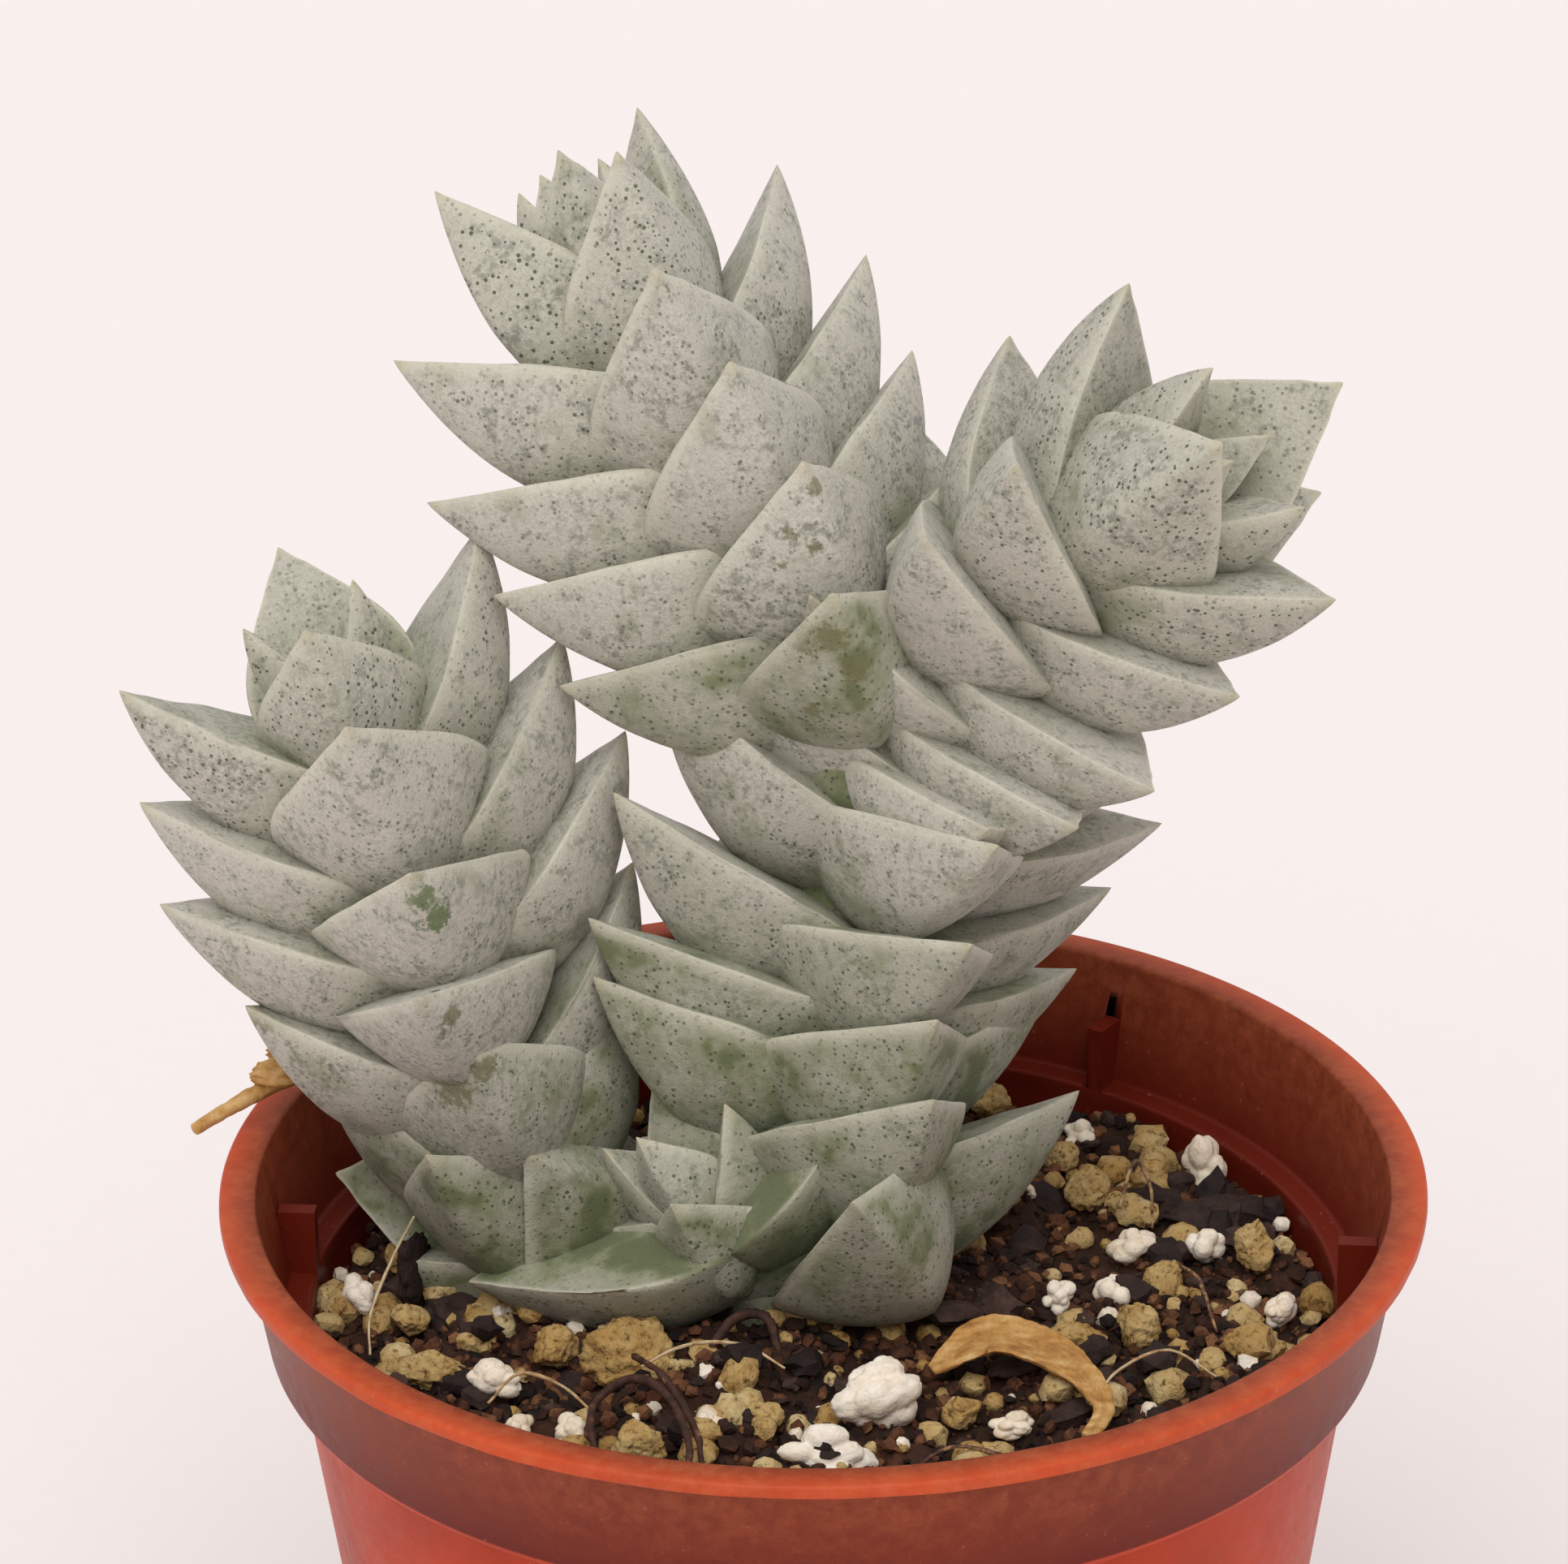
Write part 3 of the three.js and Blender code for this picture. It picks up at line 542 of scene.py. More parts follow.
# Soil: the same level, waves and grit as the solid, with finer relief
soil = {"level": 45.6, "floor": 1.5, "rings": 110, "sides": 200, "gritCount": 90, "gritSeed": 11,
        "smallest": 1.2, "largest": 2.4, "gritReach": 24, "lift": 0.5, "fine": 0.28, "fineCell": 1.1,
        "clear": 0.4, "bevel": 0.4, "shoulder": 1, "middle": 0.15}


def gritSpots():
    # the seeded rule of the solid: three draws for each bump, of its reach, its angle and its radius
    state = soil["gritSeed"]
    draws = []
    for _ in range(3 * soil["gritCount"]):
        state = (state * 1664525 + 1013904223) % 2 ** 32
        draws.append(state / 2 ** 32)
    reach, angle, size = np.array(draws).reshape(-1, 3).T
    reach, angle = soil["gritReach"] * np.sqrt(reach), 2 * np.pi * angle
    radius = soil["smallest"] + (soil["largest"] - soil["smallest"]) * size
    return reach * np.cos(angle), reach * np.sin(angle), radius


gritX, gritY, gritRadius = gritSpots()


def soilHeight(x, y):
    # slow waves of 0.35 mm, the highest of the round bumps, and noise of 1.1 mm and finer
    x, y = np.asarray(x, float), np.asarray(y, float)
    bump = np.zeros(x.shape)
    for gx, gy, radius in zip(gritX, gritY, gritRadius):
        near = np.clip(1 - ((x - gx) ** 2 + (y - gy) ** 2) / radius ** 2, 0, 1)
        bump = np.maximum(bump, soil["lift"] * radius * np.sqrt(near))
    spots = np.stack([x, y, 0 * x], -1)
    fine = soil["fine"] * layeredNoise(spots, soil["fineCell"], 21, 3)
    wave = 0.35 * np.sin(0.42 * x + 0.9) * np.cos(0.36 * y - 0.4)
    return soil["level"] + wave + bump + fine


def buildSoil():
    shoulder, floor, bevel = soil["level"] - soil["shoulder"], soil["floor"], soil["bevel"]
    edge, foot = wallRadius(shoulder) - soil["clear"], wallRadius(floor) - soil["clear"]
    cosine, sine = circle(soil["sides"])
    radius = np.linspace(edge - bevel / 2, soil["middle"], soil["rings"])[:, None]
    x, y = radius * cosine, radius * sine
    top = np.stack([x, y, soilHeight(x, y)], -1)
    low = [np.stack([r * cosine, r * sine, 0 * sine + z], -1)
           for r, z in ((foot - bevel, floor), (foot, floor + bevel), (edge, shoulder))]
    rings = np.concatenate([low, top])
    points = np.concatenate([rings.reshape(-1, 3), [[0, 0, floor], [0, 0, soilHeight(0, 0)]]])
    faces = tubeFaces(len(rings), soil["sides"])
    tint = 0.3 + 0.25 * layeredNoise(points, 2.5, 31, 3)
    finishPiece(makePiece("soilBed", points, faces, soilMix, {"tint": tint}), ["soil"])


buildSoil()


# Leaves: the sizes in mm and the shares that every leaf has
leaf = {
    "width": 11.4, "depth": 5.6, "fullLength": 13, "crown": 0.6, "cup": 0.3, "curl": 0.3, "baseWidth": 0.8,
    "shoulder": 0.26, "blunt": 0.9, "rings": 40, "sides": 60, "marginWidth": 0.2, "tipReach": 0.9,
    "coreSides": 32, "coreRings": 24, "youngPairs": 4,
}
# Stems: the four points of each curve, and how its leaves change from the oldest pair up. Each value is a
# list of [pair, value], straight between: distance along the curve, turn, length, lift and fullness.
stems = {
    "main": {
        "node": "plant_main_stem", "pairs": 22, "young": 15, "old": 9,
        "axis": [[2, 2, 48.7], [-3, 3, 53.2], [0.5, 16.8, 74.4], [18.7, 2.9, 89.7]],
        "along": [[0, 0.4], [1, 3.4], [2, 6], [3, 9.6], [4, 9.8], [5, 12.8], [6, 15.8], [7, 16.8], [8, 22],
                  [9, 22.4], [10, 25.6], [11, 26.8], [17, 40], [21, 46]],
        "turn": [[0, -75], [1, -80], [2, -59], [7, -60], [10, -66], [12, -48], [14, -38], [16, -28],
                 [17, -36], [18, -18], [19, -16], [20, -12], [21, -12]],
        "length": [[0, 13.5], [4, 13.4], [5, 14], [6, 14.6], [7, 14.8], [8, 13.8], [9, 15], [10, 12.6],
                   [15, 13.4], [16, 12.6], [17, 13.6], [18, 13.6], [19, 13.4], [20, 9.6], [21, 7]],
        "lift": [[0, 15], [1, 4], [2, 8], [3, 17], [5, 11], [8, 19], [11, 9], [14, 14], [15, 24], [17, 33],
                 [18, 47], [19, 63], [20, 64], [21, 72]],
        "fullness": [[0, 1], [16, 1], [18, 0.84], [19, 0.88], [20, 0.75], [21, 0.7]],
        "coreRadius": 3.4, "rootDepth": 11,
    },
    "left": {
        "node": "plant_left_stem", "pairs": 14, "young": 9, "old": 6,
        "axis": [[-6.1, 10, 43.8], [-18.8, 4, 49.8], [-11.7, 4.5, 45.3], [-22.8, 5.5, 75.7]],
        "along": [[0, 6], [5, 20.2], [6, 24.8], [7, 27], [8, 29.2], [13, 41]],
        "turn": [[0, -115], [1, -98], [3, -62], [5, -52], [6, -64], [7, -56], [10, -56], [11, -48], [12, -56],
                 [13, -52]],
        "length": [[0, 12.5], [3, 11.5], [6, 13.2], [7, 14.2], [8, 13.6], [9, 13.8], [10, 14.5], [11, 13.8],
                   [12, 11], [13, 6]],
        "lift": [[0, 75], [1, 53], [2, 55], [5, 34], [6, 20], [7, 29], [8, 27], [9, 35], [10, 39], [12, 49],
                 [13, 58]],
        "fullness": [[0, 1], [10, 1], [11, 0.82], [12, 0.95], [13, 0.8]],
        "coreRadius": 3.2, "rootDepth": 8,
    },
    "top": {
        "node": "plant_top_head", "pairs": 14, "young": 6, "old": 1.6,
        "axis": [[2, 5.9, 71.4], [3.9, 5.4, 75.4], [-5, 11.3, 84.3], [-9.6, 15.3, 94.2]],
        "along": [[0, 6.8], [8, 23.8], [13, 29.5]],
        "turn": [[0, -80], [1, -80], [2, -70], [3, -76], [4, -73], [6, -77], [7, -71], [8, -66], [9, -54],
                 [10, -80], [13, -70]],
        "length": [[0, 12], [5, 14.5], [7, 14.3], [8, 13.2], [9, 13.4], [10, 10.4], [11, 8], [12, 6],
                   [13, 4]],
        "lift": [[0, 15], [4, 25], [5, 26], [7, 37], [8, 48], [9, 59], [10, 66], [13, 84]],
        "fullness": [[0, 1], [7, 0.92], [9, 0.68], [10, 0.8], [13, 0.9]],
        "coreRadius": 3.2, "rootDepth": 0,
    },
    "offset": {
        "node": "plant_basal_offset", "pairs": 4, "young": 2, "old": 5,
        "axis": [[-3, 1, 46.7], [-4, 1, 48.4], [-4.5, 0.5, 50.2], [-5.5, 0.5, 51.8]],
        "along": [[0, 5.2], [1, 3.4], [3, 6]],
        "turn": [[0, 8], [1, -10], [3, -10]],
        "length": [[0, 13], [1, 8], [3, 6.5]],
        "lift": [[0, 16], [1, 52], [3, 66]],
        "fullness": [[0, 1]],
        "coreRadius": 2, "rootDepth": 4,
    },
}


def stemFrames(axis, at):
    # points and steady side vectors on a cubic Bezier curve, at distances from its foot, from short steps
    steps = 200
    share = np.linspace(0, 1, steps + 1)[:, None]
    rest = 1 - share
    a, b, c, d = np.asarray(axis, float)
    curve = rest ** 3 * a + 3 * share * rest ** 2 * b + 3 * share ** 2 * rest * c + share ** 3 * d
    slope = rest ** 2 * (b - a) + 2 * share * rest * (c - b) + share ** 2 * (d - c)
    along = unit(slope)
    distance = np.concatenate([[0], np.cumsum(np.linalg.norm(np.diff(curve, axis=0), axis=1))])
    side = np.array([1.0, 0, 0])
    sides = []
    for direction in along:
        side = unit(side - direction * (side @ direction))
        sides.append(side)
    found = np.minimum(np.searchsorted(distance, at), steps)
    point = curve[found] + along[found] * (np.asarray(at) - distance[found])[:, None]
    first = np.array(sides)[found]
    return point, along[found], first, np.cross(along[found], first)


def leafPlaces(stem):
    # crossed pairs: each is turned a quarter from the one below, and its leaves are tipped up by its lift
    pair = np.repeat(np.arange(stem["pairs"]), 2)
    half = np.tile([0, 180], stem["pairs"])
    point, along, first, second = stemFrames(stem["axis"], between(stem["along"], pair))
    turn = np.radians(between(stem["turn"], pair) - 90 * (pair % 2) + half)[:, None]
    lift = np.radians(between(stem["lift"], pair))[:, None]
    flat = first * np.cos(turn) + second * np.sin(turn)
    return {
        "pair": pair, "origin": point, "length": between(stem["length"], pair),
        "fullness": between(stem["fullness"], pair),
        "out": flat * np.cos(lift) + along * np.sin(lift), "across": np.cross(along, flat),
        "up": along * np.cos(lift) - flat * np.sin(lift),
    }


def leafSurface(length, fullness, seed):
    # u runs from the axis to the tip, v round the section, s = cos v. The outline is an ogee beyond the
    # shoulder: 0.39 (1 + cos(pi t^1.2)) + 0.22 (1 - t)^0.6, cut short at the blunt share of t and closed by a
    # square root. The keel falls as 0.88 (1 - t^2) + 0.12 (1 - t)^0.5. Above: crown (1 - s^2). Below: keel
    # (1 - |s|^1.45)^0.75. Both are curled up by u^2 and cupped by s^2.
    size = np.minimum(1, length / leaf["fullLength"])[:, None, None]
    full = fullness[:, None, None]
    share = np.linspace(0, 1, leaf["rings"] + 1)[:-1]
    u = (1 - (1 - share) ** 1.25)[None, :, None]
    v = (2 * np.pi * np.arange(leaf["sides"]) / leaf["sides"])[None, None, :]
    t = np.maximum(0, (u - leaf["shoulder"]) / (1 - leaf["shoulder"]))
    inner = np.minimum(1, u / leaf["shoulder"])
    rise = leaf["baseWidth"] + (1 - leaf["baseWidth"]) * np.sin(np.pi / 2 * inner)
    short = leaf["blunt"] * t
    outline = 0.39 * (1 + np.cos(np.pi * short ** 1.2)) + 0.22 * (1 - short) ** 0.6
    outline = outline * np.sqrt(np.minimum(1, (1 - t) / (1.6 * (1 - leaf["blunt"]))))
    halfWidth = leaf["width"] / 2 * size ** 1.3 * full * rise * outline
    belly = np.minimum(1, 0.9 + 0.1 * u / leaf["shoulder"]) * (0.88 * (1 - t * t) + 0.12 * np.sqrt(1 - t))
    keel = leaf["depth"] * size * (0.5 + 0.5 * full) * belly
    crown = leaf["crown"] * (1 - t) ** 0.8
    s = np.cos(v)
    above = np.sin(v) > -1e-9
    face = np.where(above, crown * (1 - s * s), -keel * np.maximum(0, 1 - np.abs(s) ** 1.45) ** 0.75)
    bend = leaf["curl"] * u * u + leaf["cup"] * s * s * (1 - t) * np.sin(np.pi * u)
    reach = u * length[:, None, None] + 0 * face
    across = halfWidth * s + 0 * reach
    # each leaf is a little uneven: its margins waver and its faces have soft dents
    index = np.arange(len(length))[:, None, None] * 50.0 + seed * 1000
    spots = np.stack([reach + index, across, 3.0 * above + 0 * reach], -1)
    uneven = easeStep(0.1, 0.4, u) * (1 - t)
    height = face + bend + 0.16 * uneven * layeredNoise(spots, 3.2, seed, 2)
    across = across * (1 + 0.035 * uneven * latticeNoise(spots, 3.5, seed + 7))
    edge = (1 - np.abs(s)) * halfWidth
    return reach, across, height, {
        "margin": np.exp(-(edge / leaf["marginWidth"]) ** 2) * easeStep(0.12, 0.3, u),
        "tip": easeStep(leaf["tipReach"], 0.15, (1 - u) * length[:, None, None] + 0 * face),
        # 1 at the axil, fading out along the leaf: it sets the greener base and the painted shade at the
        #                                           axils
        "axil": np.clip(1 - u / np.where(above, 0.75, 0.5), 0, 1) + 0 * face,
        "upper": np.where(above, 1.0, 0.0) + 0 * face,
        "reach": reach,
    }


def stemCore(stem):
    # rings round the stem that close the middle between its leaves, and a root straight down into the soil
    stops = np.linspace(0, 1, leaf["coreRings"])
    point, _, first, second = stemFrames(stem["axis"], stops * between(stem["along"], stem["pairs"] - 1))
    radius = stem["coreRadius"] * between([[0, 1], [0.5, 1], [0.75, 0.85], [1, 0.3]], stops)
    cosine, sine = circle(leaf["coreSides"])
    outward = first[:, None] * cosine[:, None] + second[:, None] * sine[:, None]
    core = point[:, None] + radius[:, None, None] * outward
    if not stem["rootDepth"]:
        return core
    x, y, z = stem["axis"][0]
    depth = np.linspace(stem["rootDepth"], 1, 5)
    wide = stem["coreRadius"] * np.linspace(0.45, 0.9, 5)[:, None]
    root = np.stack([x + wide * cosine, y + wide * sine, (z - depth)[:, None] + 0 * sine], -1)
    return np.concatenate([root, core])


def buildStem(name, stem, seed):
    place = leafPlaces(stem)
    reach, across, height, values = leafSurface(place["length"], place["fullness"], seed)
    grid = [place[key][:, None, None, :] for key in ("origin", "out", "across", "up")]
    points = grid[0] + reach[..., None] * grid[1] + across[..., None] * grid[2] + height[..., None] * grid[3]
    # every leaf is a tube of rings, closed by a point under the axis and a point at the tip
    count, rings, sides = reach.shape
    size = np.minimum(1, place["length"] / leaf["fullLength"])[:, None]
    foot = place["origin"] - place["up"] * leaf["depth"] * size / 2
    tip = place["origin"] + place["out"] * place["length"][:, None] + place["up"] * leaf["curl"]
    every = np.concatenate([points.reshape(count, -1, 3), foot[:, None], tip[:, None]], 1)
    spots = rings * sides + 2
    offsets = (np.arange(count) * spots)[:, None, None]
    faces = [(f[None] + offsets).reshape(-1, f.shape[1]) for f in tubeFaces(rings, sides)]
    ends = {"margin": (0, 0), "tip": (0, 1), "axil": (1, 0), "upper": (0, 0.5), "reach": (0, 1)}
    full = {}
    for key, (first, last) in ends.items():
        atTip = last * (place["length"] if key == "reach" else np.ones(count))
        cap = np.stack([np.full(count, float(first)), atTip], 1)
        full[key] = np.concatenate([values[key].reshape(count, -1), cap], 1).ravel()
    youth = easeStep(stem["young"], stem["young"] + leaf["youngPairs"], place["pair"])
    age = 1 - easeStep(stem["old"] / 3, stem["old"], place["pair"])
    numbers = np.random.default_rng(seed).random(count)
    for key, value in (("young", youth), ("old", age), ("mark", numbers)):
        full[key] = np.repeat(value, spots)
    core = stemCore(stem)
    corePoints = np.concatenate([core.reshape(-1, 3), [core[0].mean(0), core[-1].mean(0)]])
    # the stem core counts as all axil, so it takes the deep green with its painted shade
    coreValues = {"margin": 0, "tip": 0, "axil": 1, "upper": 0, "reach": 0, "young": 0, "old": 1, "mark": 0.5}
    for key, number in coreValues.items():
        full[key] = np.concatenate([full[key], np.full(len(corePoints), float(number))])
    coreFaces = tubeFaces(len(core), leaf["coreSides"])
    points, faces = joined([(every.reshape(-1, 3), faces), (corePoints, coreFaces)])
    finishPiece(makePiece(name, points, faces, leafSkin, full), [stem["node"]])


for number, (stemName, stem) in enumerate(stems.items()):
    buildStem("leaves" + stemName.capitalize(), stem, 40 + number)


# Stones: every stone takes its place, size and turn from its solid
def ballGrid(rings, sides):
    # directions over a ball, from its lowest to its highest point, with a pole at each end
    down = np.linspace(np.pi, 0, rings + 2)[1:-1, None]
    cosine, sine = circle(sides)
    grid = np.stack([np.sin(down) * cosine, np.sin(down) * sine, np.cos(down) + 0 * sine], -1)
    return np.concatenate([grid.reshape(-1, 3), [[0, 0, -1], [0, 0, 1]]]), tubeFaces(rings, sides)


def stoneBox(node):
    # centre, long directions and half sizes of a solid, from how its points spread in plan
    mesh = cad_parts[node].data
    spots = np.empty(len(mesh.vertices) * 3)
    mesh.vertices.foreach_get("co", spots)
    spots = np.unique(np.round(spots.reshape(-1, 3) / mm, 4), axis=0)
    low, high = spots.min(0), spots.max(0)
    centre = (low + high) / 2
    axes = np.linalg.eigh(np.cov((spots - centre)[:, :2].T))[1]
    turned = np.eye(3)
    turned[:2, :2] = axes[:, ::-1]
    along = (spots - centre) @ turned
    return centre, turned, (along.max(0) - along.min(0)) / 2


def knobs(directions, draw, count, spread, size):
    # the outermost of several balls: for each, the far crossing of the ray with the ball
    reach = np.full(len(directions), 0.55)
    for _ in range(count):
        middle = unit(draw.normal(size=3)) * spread * draw.random() ** 0.4
        radius = size * (0.7 + 0.6 * draw.random())
        along = directions @ middle
        inside = radius ** 2 - middle @ middle + along ** 2
        reach = np.maximum(reach, np.where(inside > 0, along + np.sqrt(np.maximum(inside, 0)), 0))
    return reach


def facets(directions, draw, count, near, far):
    # the nearest of several planes: each cuts the ray at its distance over the cosine
    reach = np.full(len(directions), 1.15)
    for _ in range(count):
        plane = unit(draw.normal(size=3))
        cosine = directions @ plane
        cut = (near + (far - near) * draw.random()) / np.maximum(cosine, 1e-6)
        reach = np.where(cosine > 0, np.minimum(reach, cut), reach)
    return reach


def buildStones(name, start, shapeRule, material, seed, rings, sides):
    # one piece for all solids whose name begins with start, each filling its own solid's box
    nodes = sorted(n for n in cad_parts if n.startswith(start))
    directions, faces = ballGrid(rings, sides)
    parts, tint = [], []
    for i, node in enumerate(nodes):
        draw = np.random.default_rng(seed + i)
        centre, turned, half = stoneBox(node)
        local = directions * shapeRule(directions, draw, half)[:, None]
        local = local / np.abs(local).max(0) * half
        parts.append((centre + local @ turned.T, faces))
        tint.append(np.full(len(directions), 0.35 + 0.3 * draw.random()))
    points, faces = joined(parts)
    finishPiece(makePiece(name, points, faces, material, {"tint": np.concatenate(tint)}), nodes)


def perliteShape(directions, draw, half):
    spot = directions * half + draw.random(3) * 90
    return knobs(directions, draw, 16, 0.72, 0.42) * (1 + 0.07 * layeredNoise(spot, 0.5, 3, 3))


def pumiceShape(directions, draw, half):
    spot = directions * half + draw.random(3) * 90
    dents = 0.2 * np.abs(layeredNoise(spot, 0.6, 5, 4)) + 0.08 * latticeNoise(spot, 1.6, 8)
    return facets(directions, draw, 11, 0.72, 0.95) * (1 - dents)


def barkShape(directions, draw, half):
    spot = directions * half * (0.5, 2.2, 2.2) + draw.random(3) * 90
    return facets(directions, draw, 9, 0.7, 0.95) * (1 + 0.16 * layeredNoise(spot, 1.0, 6, 4))


buildStones("perliteLumps", "perlite", perliteShape, perliteStone, 100, 40, 64)
buildStones("pumiceLumps", "pumice", pumiceShape, pumiceStone, 200, 40, 64)
buildStones("barkLumps", "bark_chip", barkShape, barkPiece, 300, 44, 72)


# Strips and strands: a section carried along a smooth curve through given points
def smoothPath(points, steps):
    # Catmull-Rom: each stretch is the cubic through its two ends with slopes from its neighbours
    points = np.asarray(points, float)
    padded = np.concatenate([[2 * points[0] - points[1]], points, [2 * points[-1] - points[-2]]])
    place = np.linspace(0, len(points) - 1, steps)
    i = np.minimum(place.astype(int), len(points) - 2)
    t = (place - i)[:, None]
    a, b, c, d = padded[i], padded[i + 1], padded[i + 2], padded[i + 3]
    square, cube = 2 * a - 5 * b + 4 * c - d, 3 * b - a - 3 * c + d
    return 0.5 * (2 * b + (c - a) * t + square * t ** 2 + cube * t ** 3)


def strand(points, wide, thick, steps, sides, seed, uneven=0.12, fold=0.0, ridges=0):
    # rings of an ellipse along the path, wide and thick half sizes in mm along it; fold lifts its two edges,
    # and lengthwise ridges raise its two faces by the cosine of ridges times the place across
    path = smoothPath(points, steps)
    along = unit(np.gradient(path, axis=0))
    across = unit(np.cross([0, 0, 1.0], along))
    up = np.cross(along, across)
    w, h = (np.interp(np.linspace(0, 1, steps), np.linspace(0, 1, len(size)), size)[:, None]
            for size in (wide, thick))
    cosine, sine = circle(sides)
    spots = path[:, None] + across[:, None] * cosine[:, None] * 2
    bump = 1 + uneven * layeredNoise(spots, 0.8, seed, 3)
    ridged = 1 + 0.35 * np.cos(np.pi * ridges * cosine) * (ridges > 0)
    side = w * cosine * bump
    rise = h * sine * bump * ridged + fold * w * cosine ** 2
    rings = path[:, None] + side[..., None] * across[:, None] + rise[..., None] * up[:, None]
    return np.concatenate([rings.reshape(-1, 3), path[:1], path[-1:]]), tubeFaces(steps, sides)


# Dry leaf and the withered flower stalk, along the same points as their solids, with half sizes in mm, and
# each dried flower's middle and radius
dryLeafPath = [[5.2, -8.6, 47.4], [8.2, -7.4, 48.4], [11.6, -9.4, 48.2], [13.4, -12, 47.3], [12.6, -14.4, 47]]
dryLeafWide, dryLeafThick = [0.4, 1.9, 1.2, 0.55, 0.4], [0.2, 0.3, 0.3, 0.28, 0.2]
stalkPath = [[-22.4, 7.4, 57.4], [-25.6, 7, 56.6], [-28.4, 6, 55.7], [-31.6, 3.4, 54.9]]
stalkRadius = [0.5, 0.5, 0.42, 0.3]
driedFlowers = [[-25.2, 6.4, 57.2, 1.3], [-26.8, 7.4, 57, 1.1], [-27.6, 6, 56.6, 1]]


def buildDry():
    points, faces = strand(dryLeafPath, dryLeafWide, dryLeafThick, 120, 48, 61, fold=0.25, ridges=9)
    tint = 0.5 + 0.3 * layeredNoise(points * (0.5, 2, 2), 0.7, 62, 3)
    finishPiece(makePiece("dryLeaf", points, faces, dryTissue, {"tint": tint}), ["dry_leaf"])
    parts = [strand(stalkPath, stalkRadius, stalkRadius, 80, 20, 63, 0.2)]
    directions, ballFaces = ballGrid(20, 32)
    for i, (x, y, z, radius) in enumerate(driedFlowers):
        petals = 0.72 + 0.28 * np.abs(np.cos(2.5 * np.arctan2(directions[:, 1], directions[:, 2]) + i))
        petals = petals * (1 + 0.18 * layeredNoise(directions + 9 * i, 0.35, 64, 3))
        parts.append((directions * petals[:, None] * radius * (1.3, 0.8, 0.8) + (x, y, z), ballFaces))
    points, faces = joined(parts)
    tint = 0.62 + 0.3 * layeredNoise(points, 0.8, 65, 3)
    stalk = makePiece("driedStalk", points, faces, dryTissue, {"tint": tint})
    finishPiece(stalk, ["dry_flower_stalk"])


buildDry()


# Root fibres and dark curled roots: points in mm, radius and tint, 0 dark to 1 pale
strandSets = [
    ([[-22.5, -6, 47.2], [-22.6, -3.5, 48], [-21.6, -1.6, 50], [-20.4, -1, 52.2]], 0.09, 0.9),
    ([[-9, -9.9, 48.6], [-7.5, -9, 49], [-5.9, -7.6, 48.6], [-3.9, -7.3, 48.2], [-2, -8.5, 47.6]], 0.1, 0.8),
    ([[-11, -16.8, 47], [-11.3, -13.5, 48.4], [-9.4, -11, 48.6], [-7.6, -12.6, 48.4], [-6.6, -16, 47.6],
      [-7.1, -18, 46.8]], 0.24, 0.12),
    ([[-9.4, -8.5, 48.4], [-8, -11, 48.8], [-6.4, -13.9, 47.6], [-6, -16.4, 46.8]], 0.22, 0.15),
    ([[12.8, -12, 47.4], [14.3, -9.7, 48], [16.8, -8.2, 48.2], [19.1, -9.1, 47.2]], 0.09, 0.75),
    ([[15.3, 7.4, 47.6], [16.2, 9.4, 49.2], [16.9, 8, 48.6], [16.9, 5.6, 47.4]], 0.12, 0.5),
    ([[-5.9, -6.1, 47], [-4.5, -4.6, 48.2], [-2.9, -4.2, 48], [-2.3, -5.8, 47]], 0.3, 0.1),
    ([[17.9, 2.3, 47.2], [18.8, -1, 48], [19.4, -5.1, 47.4]], 0.11, 0.4),
    ([[-16.5, -10.5, 47], [-15, -9.4, 48], [-13, -9.8, 47.6], [-11.6, -11, 47]], 0.1, 0.6),
    ([[3.5, -17.5, 46.8], [6, -16.4, 47.8], [9, -16.8, 47.4], [11.5, -15.6, 46.9]], 0.12, 0.3),
]


def buildStrands():
    parts, tint = [], []
    for i, (points, radius, shade) in enumerate(strandSets):
        size = [radius * 0.7, radius, radius * 0.6]
        part = strand(points, size, size, 60, 8, 70 + i, 0.3)
        parts.append(part)
        tint.append(np.full(len(part[0]), shade))
    points, faces = joined(parts)
    finishPiece(makePiece("rootFibres", points, faces, rootFibre, {"tint": np.concatenate(tint)}))


buildStrands()


# Loose grains: small rough balls strewn over the soil's top, kept 1.8 mm inside the ledge
grainReach = pot["ledgeOuter"] - 1.8


def roughBall(level):
    # an icosahedron's corners and faces, halved once for level 1 with the new corners pushed out to the ball
    g = (1 + 5 ** 0.5) / 2
    corners = unit(np.array([[-1, g, 0], [1, g, 0], [-1, -g, 0], [1, -g, 0], [0, -1, g], [0, 1, g],
                             [0, -1, -g], [0, 1, -g], [g, 0, -1], [g, 0, 1], [-g, 0, -1], [-g, 0, 1]]))
    near = np.isclose(np.linalg.norm(corners[:, None] - corners, axis=-1), 2 / (g * g + 1) ** 0.5)
    faces = np.array([(a, b, c) for a in range(12) for b in range(a) for c in range(b)
                      if near[a, b] and near[b, c] and near[a, c]])
    a, b, c = (corners[faces[:, i]] for i in range(3))
    wrong = (np.cross(b - a, c - a) * a).sum(1) < 0
    faces[wrong] = faces[wrong][:, ::-1]
    if level:
        pairs = np.sort(np.concatenate([faces[:, [0, 1]], faces[:, [1, 2]], faces[:, [2, 0]]]), axis=1)
        edges, where = np.unique(pairs, axis=0, return_inverse=True)
        ab, bc, ca = where.reshape(3, -1) + 12
        a, b, c = faces.T
        four = ((a, ab, ca), (ab, b, bc), (ca, bc, c), (ab, bc, ca))
        faces = np.concatenate([np.stack(f, 1) for f in four])
        corners = np.concatenate([corners, unit(corners[edges].sum(1))])
    return corners, faces


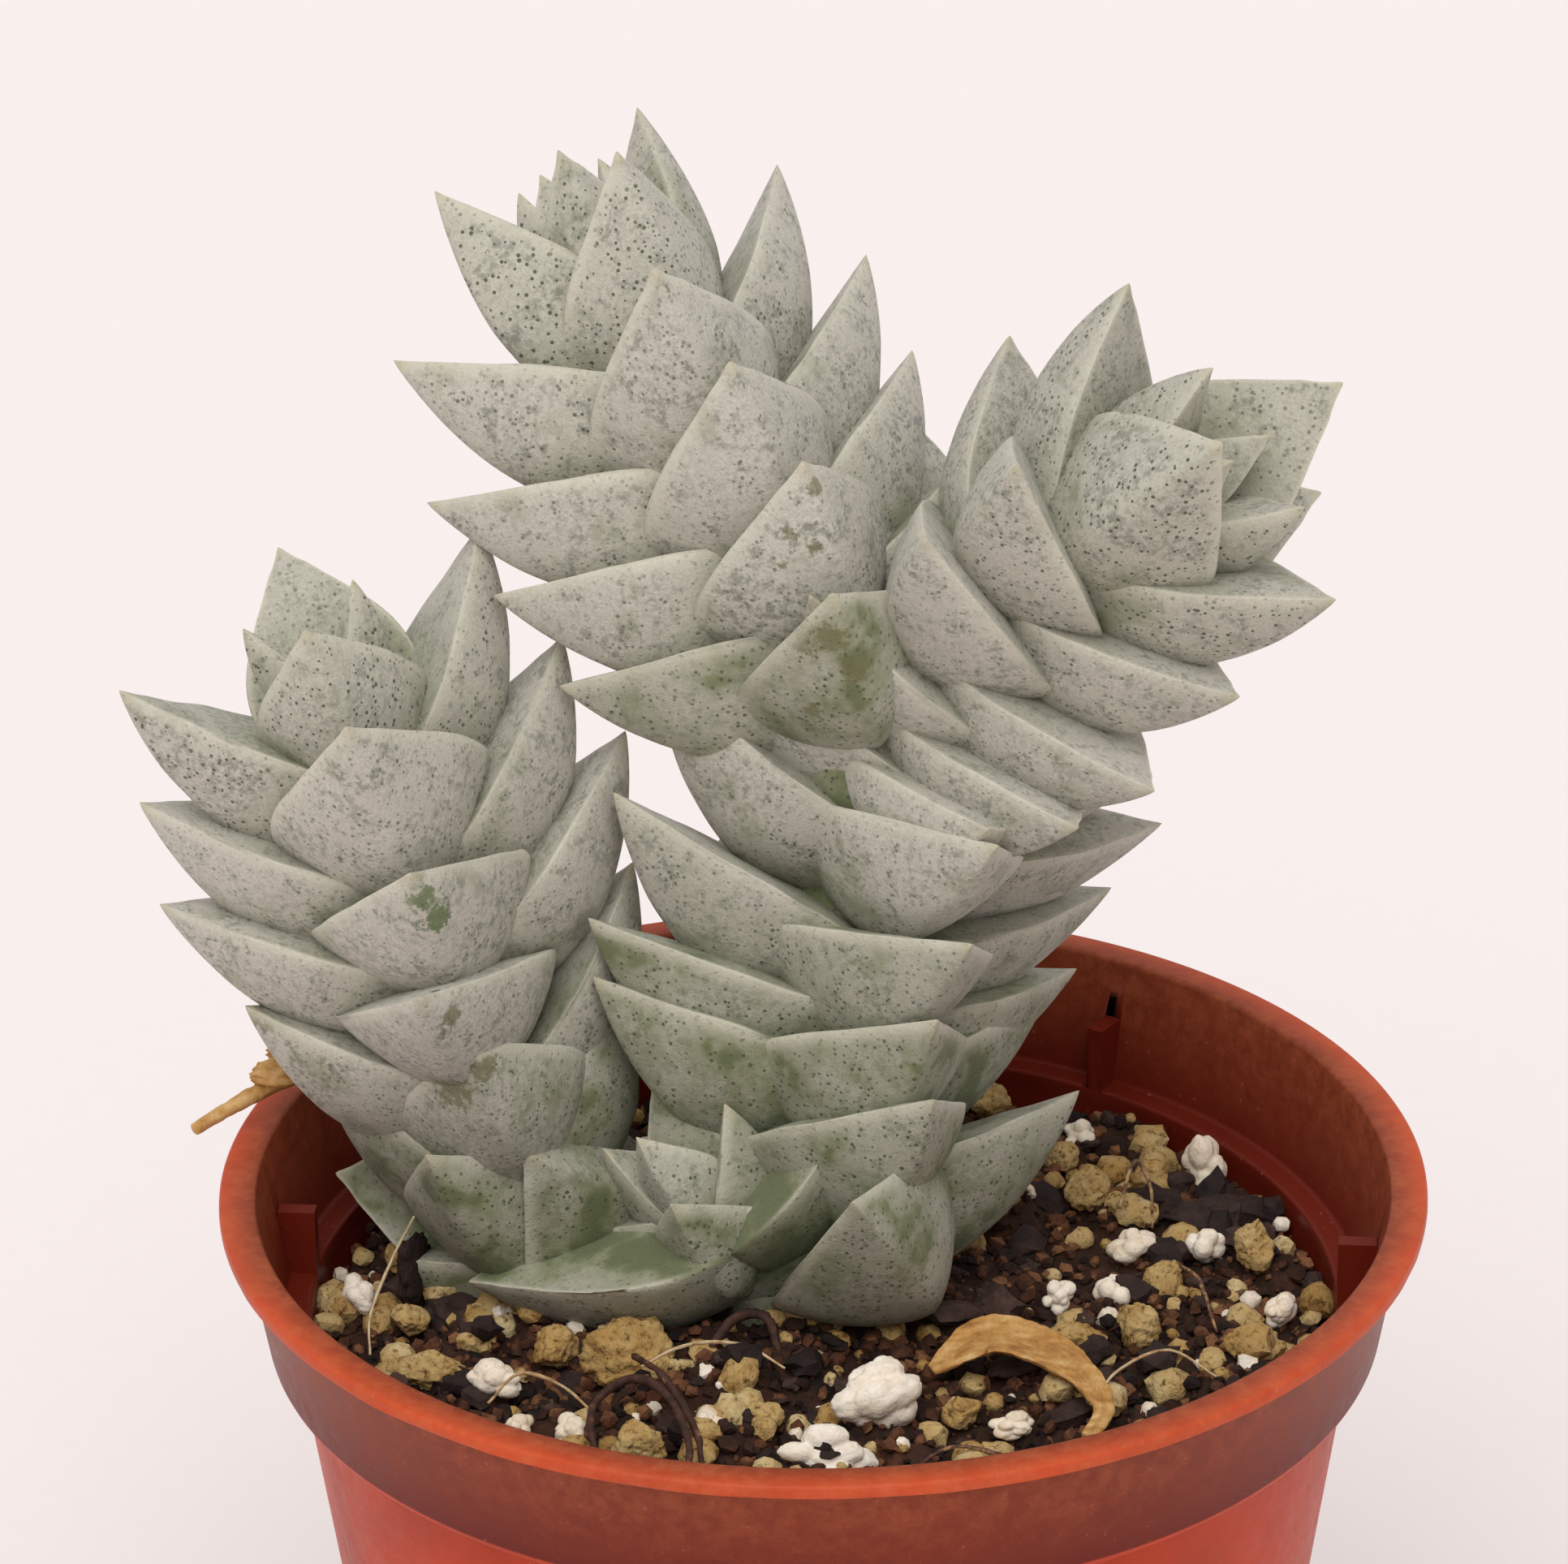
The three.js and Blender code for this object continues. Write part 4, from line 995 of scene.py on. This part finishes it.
def spin(first, second, angle):
    # two coordinates after a turn by the angle of each grain
    angle = angle[:, None]
    return np.cos(angle) * first - np.sin(angle) * second, np.sin(angle) * first + np.cos(angle) * second


def buildGrains(name, count, sizes, flat, rough, level, material, seed, tints, sink):
    # sizes in mm, mostly near the smaller; flat stretches each axis, rough moves the corners, and sink buries
    # that share of each grain
    draw = np.random.default_rng(seed)
    corners, faces = roughBall(level)
    reach = grainReach * np.sqrt(draw.random(count))
    angle = 2 * np.pi * draw.random(count)
    size = sizes[0] + (sizes[1] - sizes[0]) * draw.random(count) ** 2
    stretch = 1 + (np.array(flat) - 1) * draw.random((count, 3))
    local = corners[None] * (1 + rough * draw.uniform(-1, 1, (count, len(corners), 1)))
    local = local * stretch[:, None] * size[:, None, None] / 2
    turn, lean = 2 * np.pi * draw.random(count), draw.uniform(-0.6, 0.6, count)
    tipped, upright = spin(local[..., 0], local[..., 2], lean)
    ahead, aside = spin(tipped, local[..., 1], turn)
    x, y = reach * np.cos(angle), reach * np.sin(angle)
    z = soilHeight(x, y) + size * stretch[:, 2] * (0.5 - sink)
    points = (np.stack([ahead, aside, upright], -1) + np.stack([x, y, z], -1)[:, None]).reshape(-1, 3)
    every = (faces[None] + (np.arange(count) * len(corners))[:, None, None]).reshape(-1, 3)
    tint = np.repeat(tints[0] + (tints[1] - tints[0]) * draw.random(count), len(corners))
    finishPiece(makePiece(name, points, [every], material, {"tint": tint}, sharp=35))


buildGrains("soilCrumbs", 6500, (0.22, 0.95), (1.5, 1, 0.8), 0.28, 0, soilMix, 81, (0.0, 1.0), 0.2)
buildGrains("barkFlakes", 260, (0.6, 2.2), (1.7, 1, 0.5), 0.3, 1, barkPiece, 82, (0.1, 0.9), 0.1)
buildGrains("pumiceGrains", 420, (0.5, 2.3), (1.2, 1, 0.8), 0.16, 1, pumiceStone, 83,
            (0.3, 0.8), 0.2)
buildGrains("perliteGrains", 90, (0.4, 1.3), (1.2, 1, 0.9), 0.18, 1, perliteStone, 84,
            (0.35, 0.75), 0.15)


# Floor and light: a pale seamless floor, a wide soft overhead light and an even pale surround
studio = {
    "floor": "#F4ECEB", "floorGrain": "#F6EEED", "floorSize": 8, "floorDrop": 0.0002,
    "surround": "#FBF8F7", "surroundPower": 0.61,
    "sunPower": 1.7, "sunSpread": 50, "sunTilt": (32, -6, 0),
}


def buildStudio():
    material, tree, place = newMaterial("Matte paper floor")
    grain = add(tree, "TexNoise", None, place, Scale=0.5, Detail=2.0)
    colour = blend(tree, grain.outputs["Fac"], studio["floor"], studio["floorGrain"])
    add(tree, "OutputMaterial", None, add(tree, "BsdfDiffuse", None, colour))
    bpy.ops.mesh.primitive_plane_add(size=studio["floorSize"], location=(0, 0, -studio["floorDrop"]))
    floor = bpy.context.object
    floor.name = "floor"
    floor.data.materials.append(material)
    world = bpy.data.worlds.new("Surround")
    scene.world = world
    world.use_nodes = True
    ground = world.node_tree.nodes["Background"]
    ground.inputs["Color"].default_value = linear(studio["surround"])
    ground.inputs["Strength"].default_value = studio["surroundPower"]
    sun = bpy.data.lights.new("Overhead softbox", "SUN")
    sun.energy = studio["sunPower"]
    sun.angle = math.radians(studio["sunSpread"])
    lamp = bpy.data.objects.new("Overhead softbox", sun)
    lamp.rotation_euler = [math.radians(part) for part in studio["sunTilt"]]
    scene.collection.objects.link(lamp)


buildStudio()
print("studio ready")
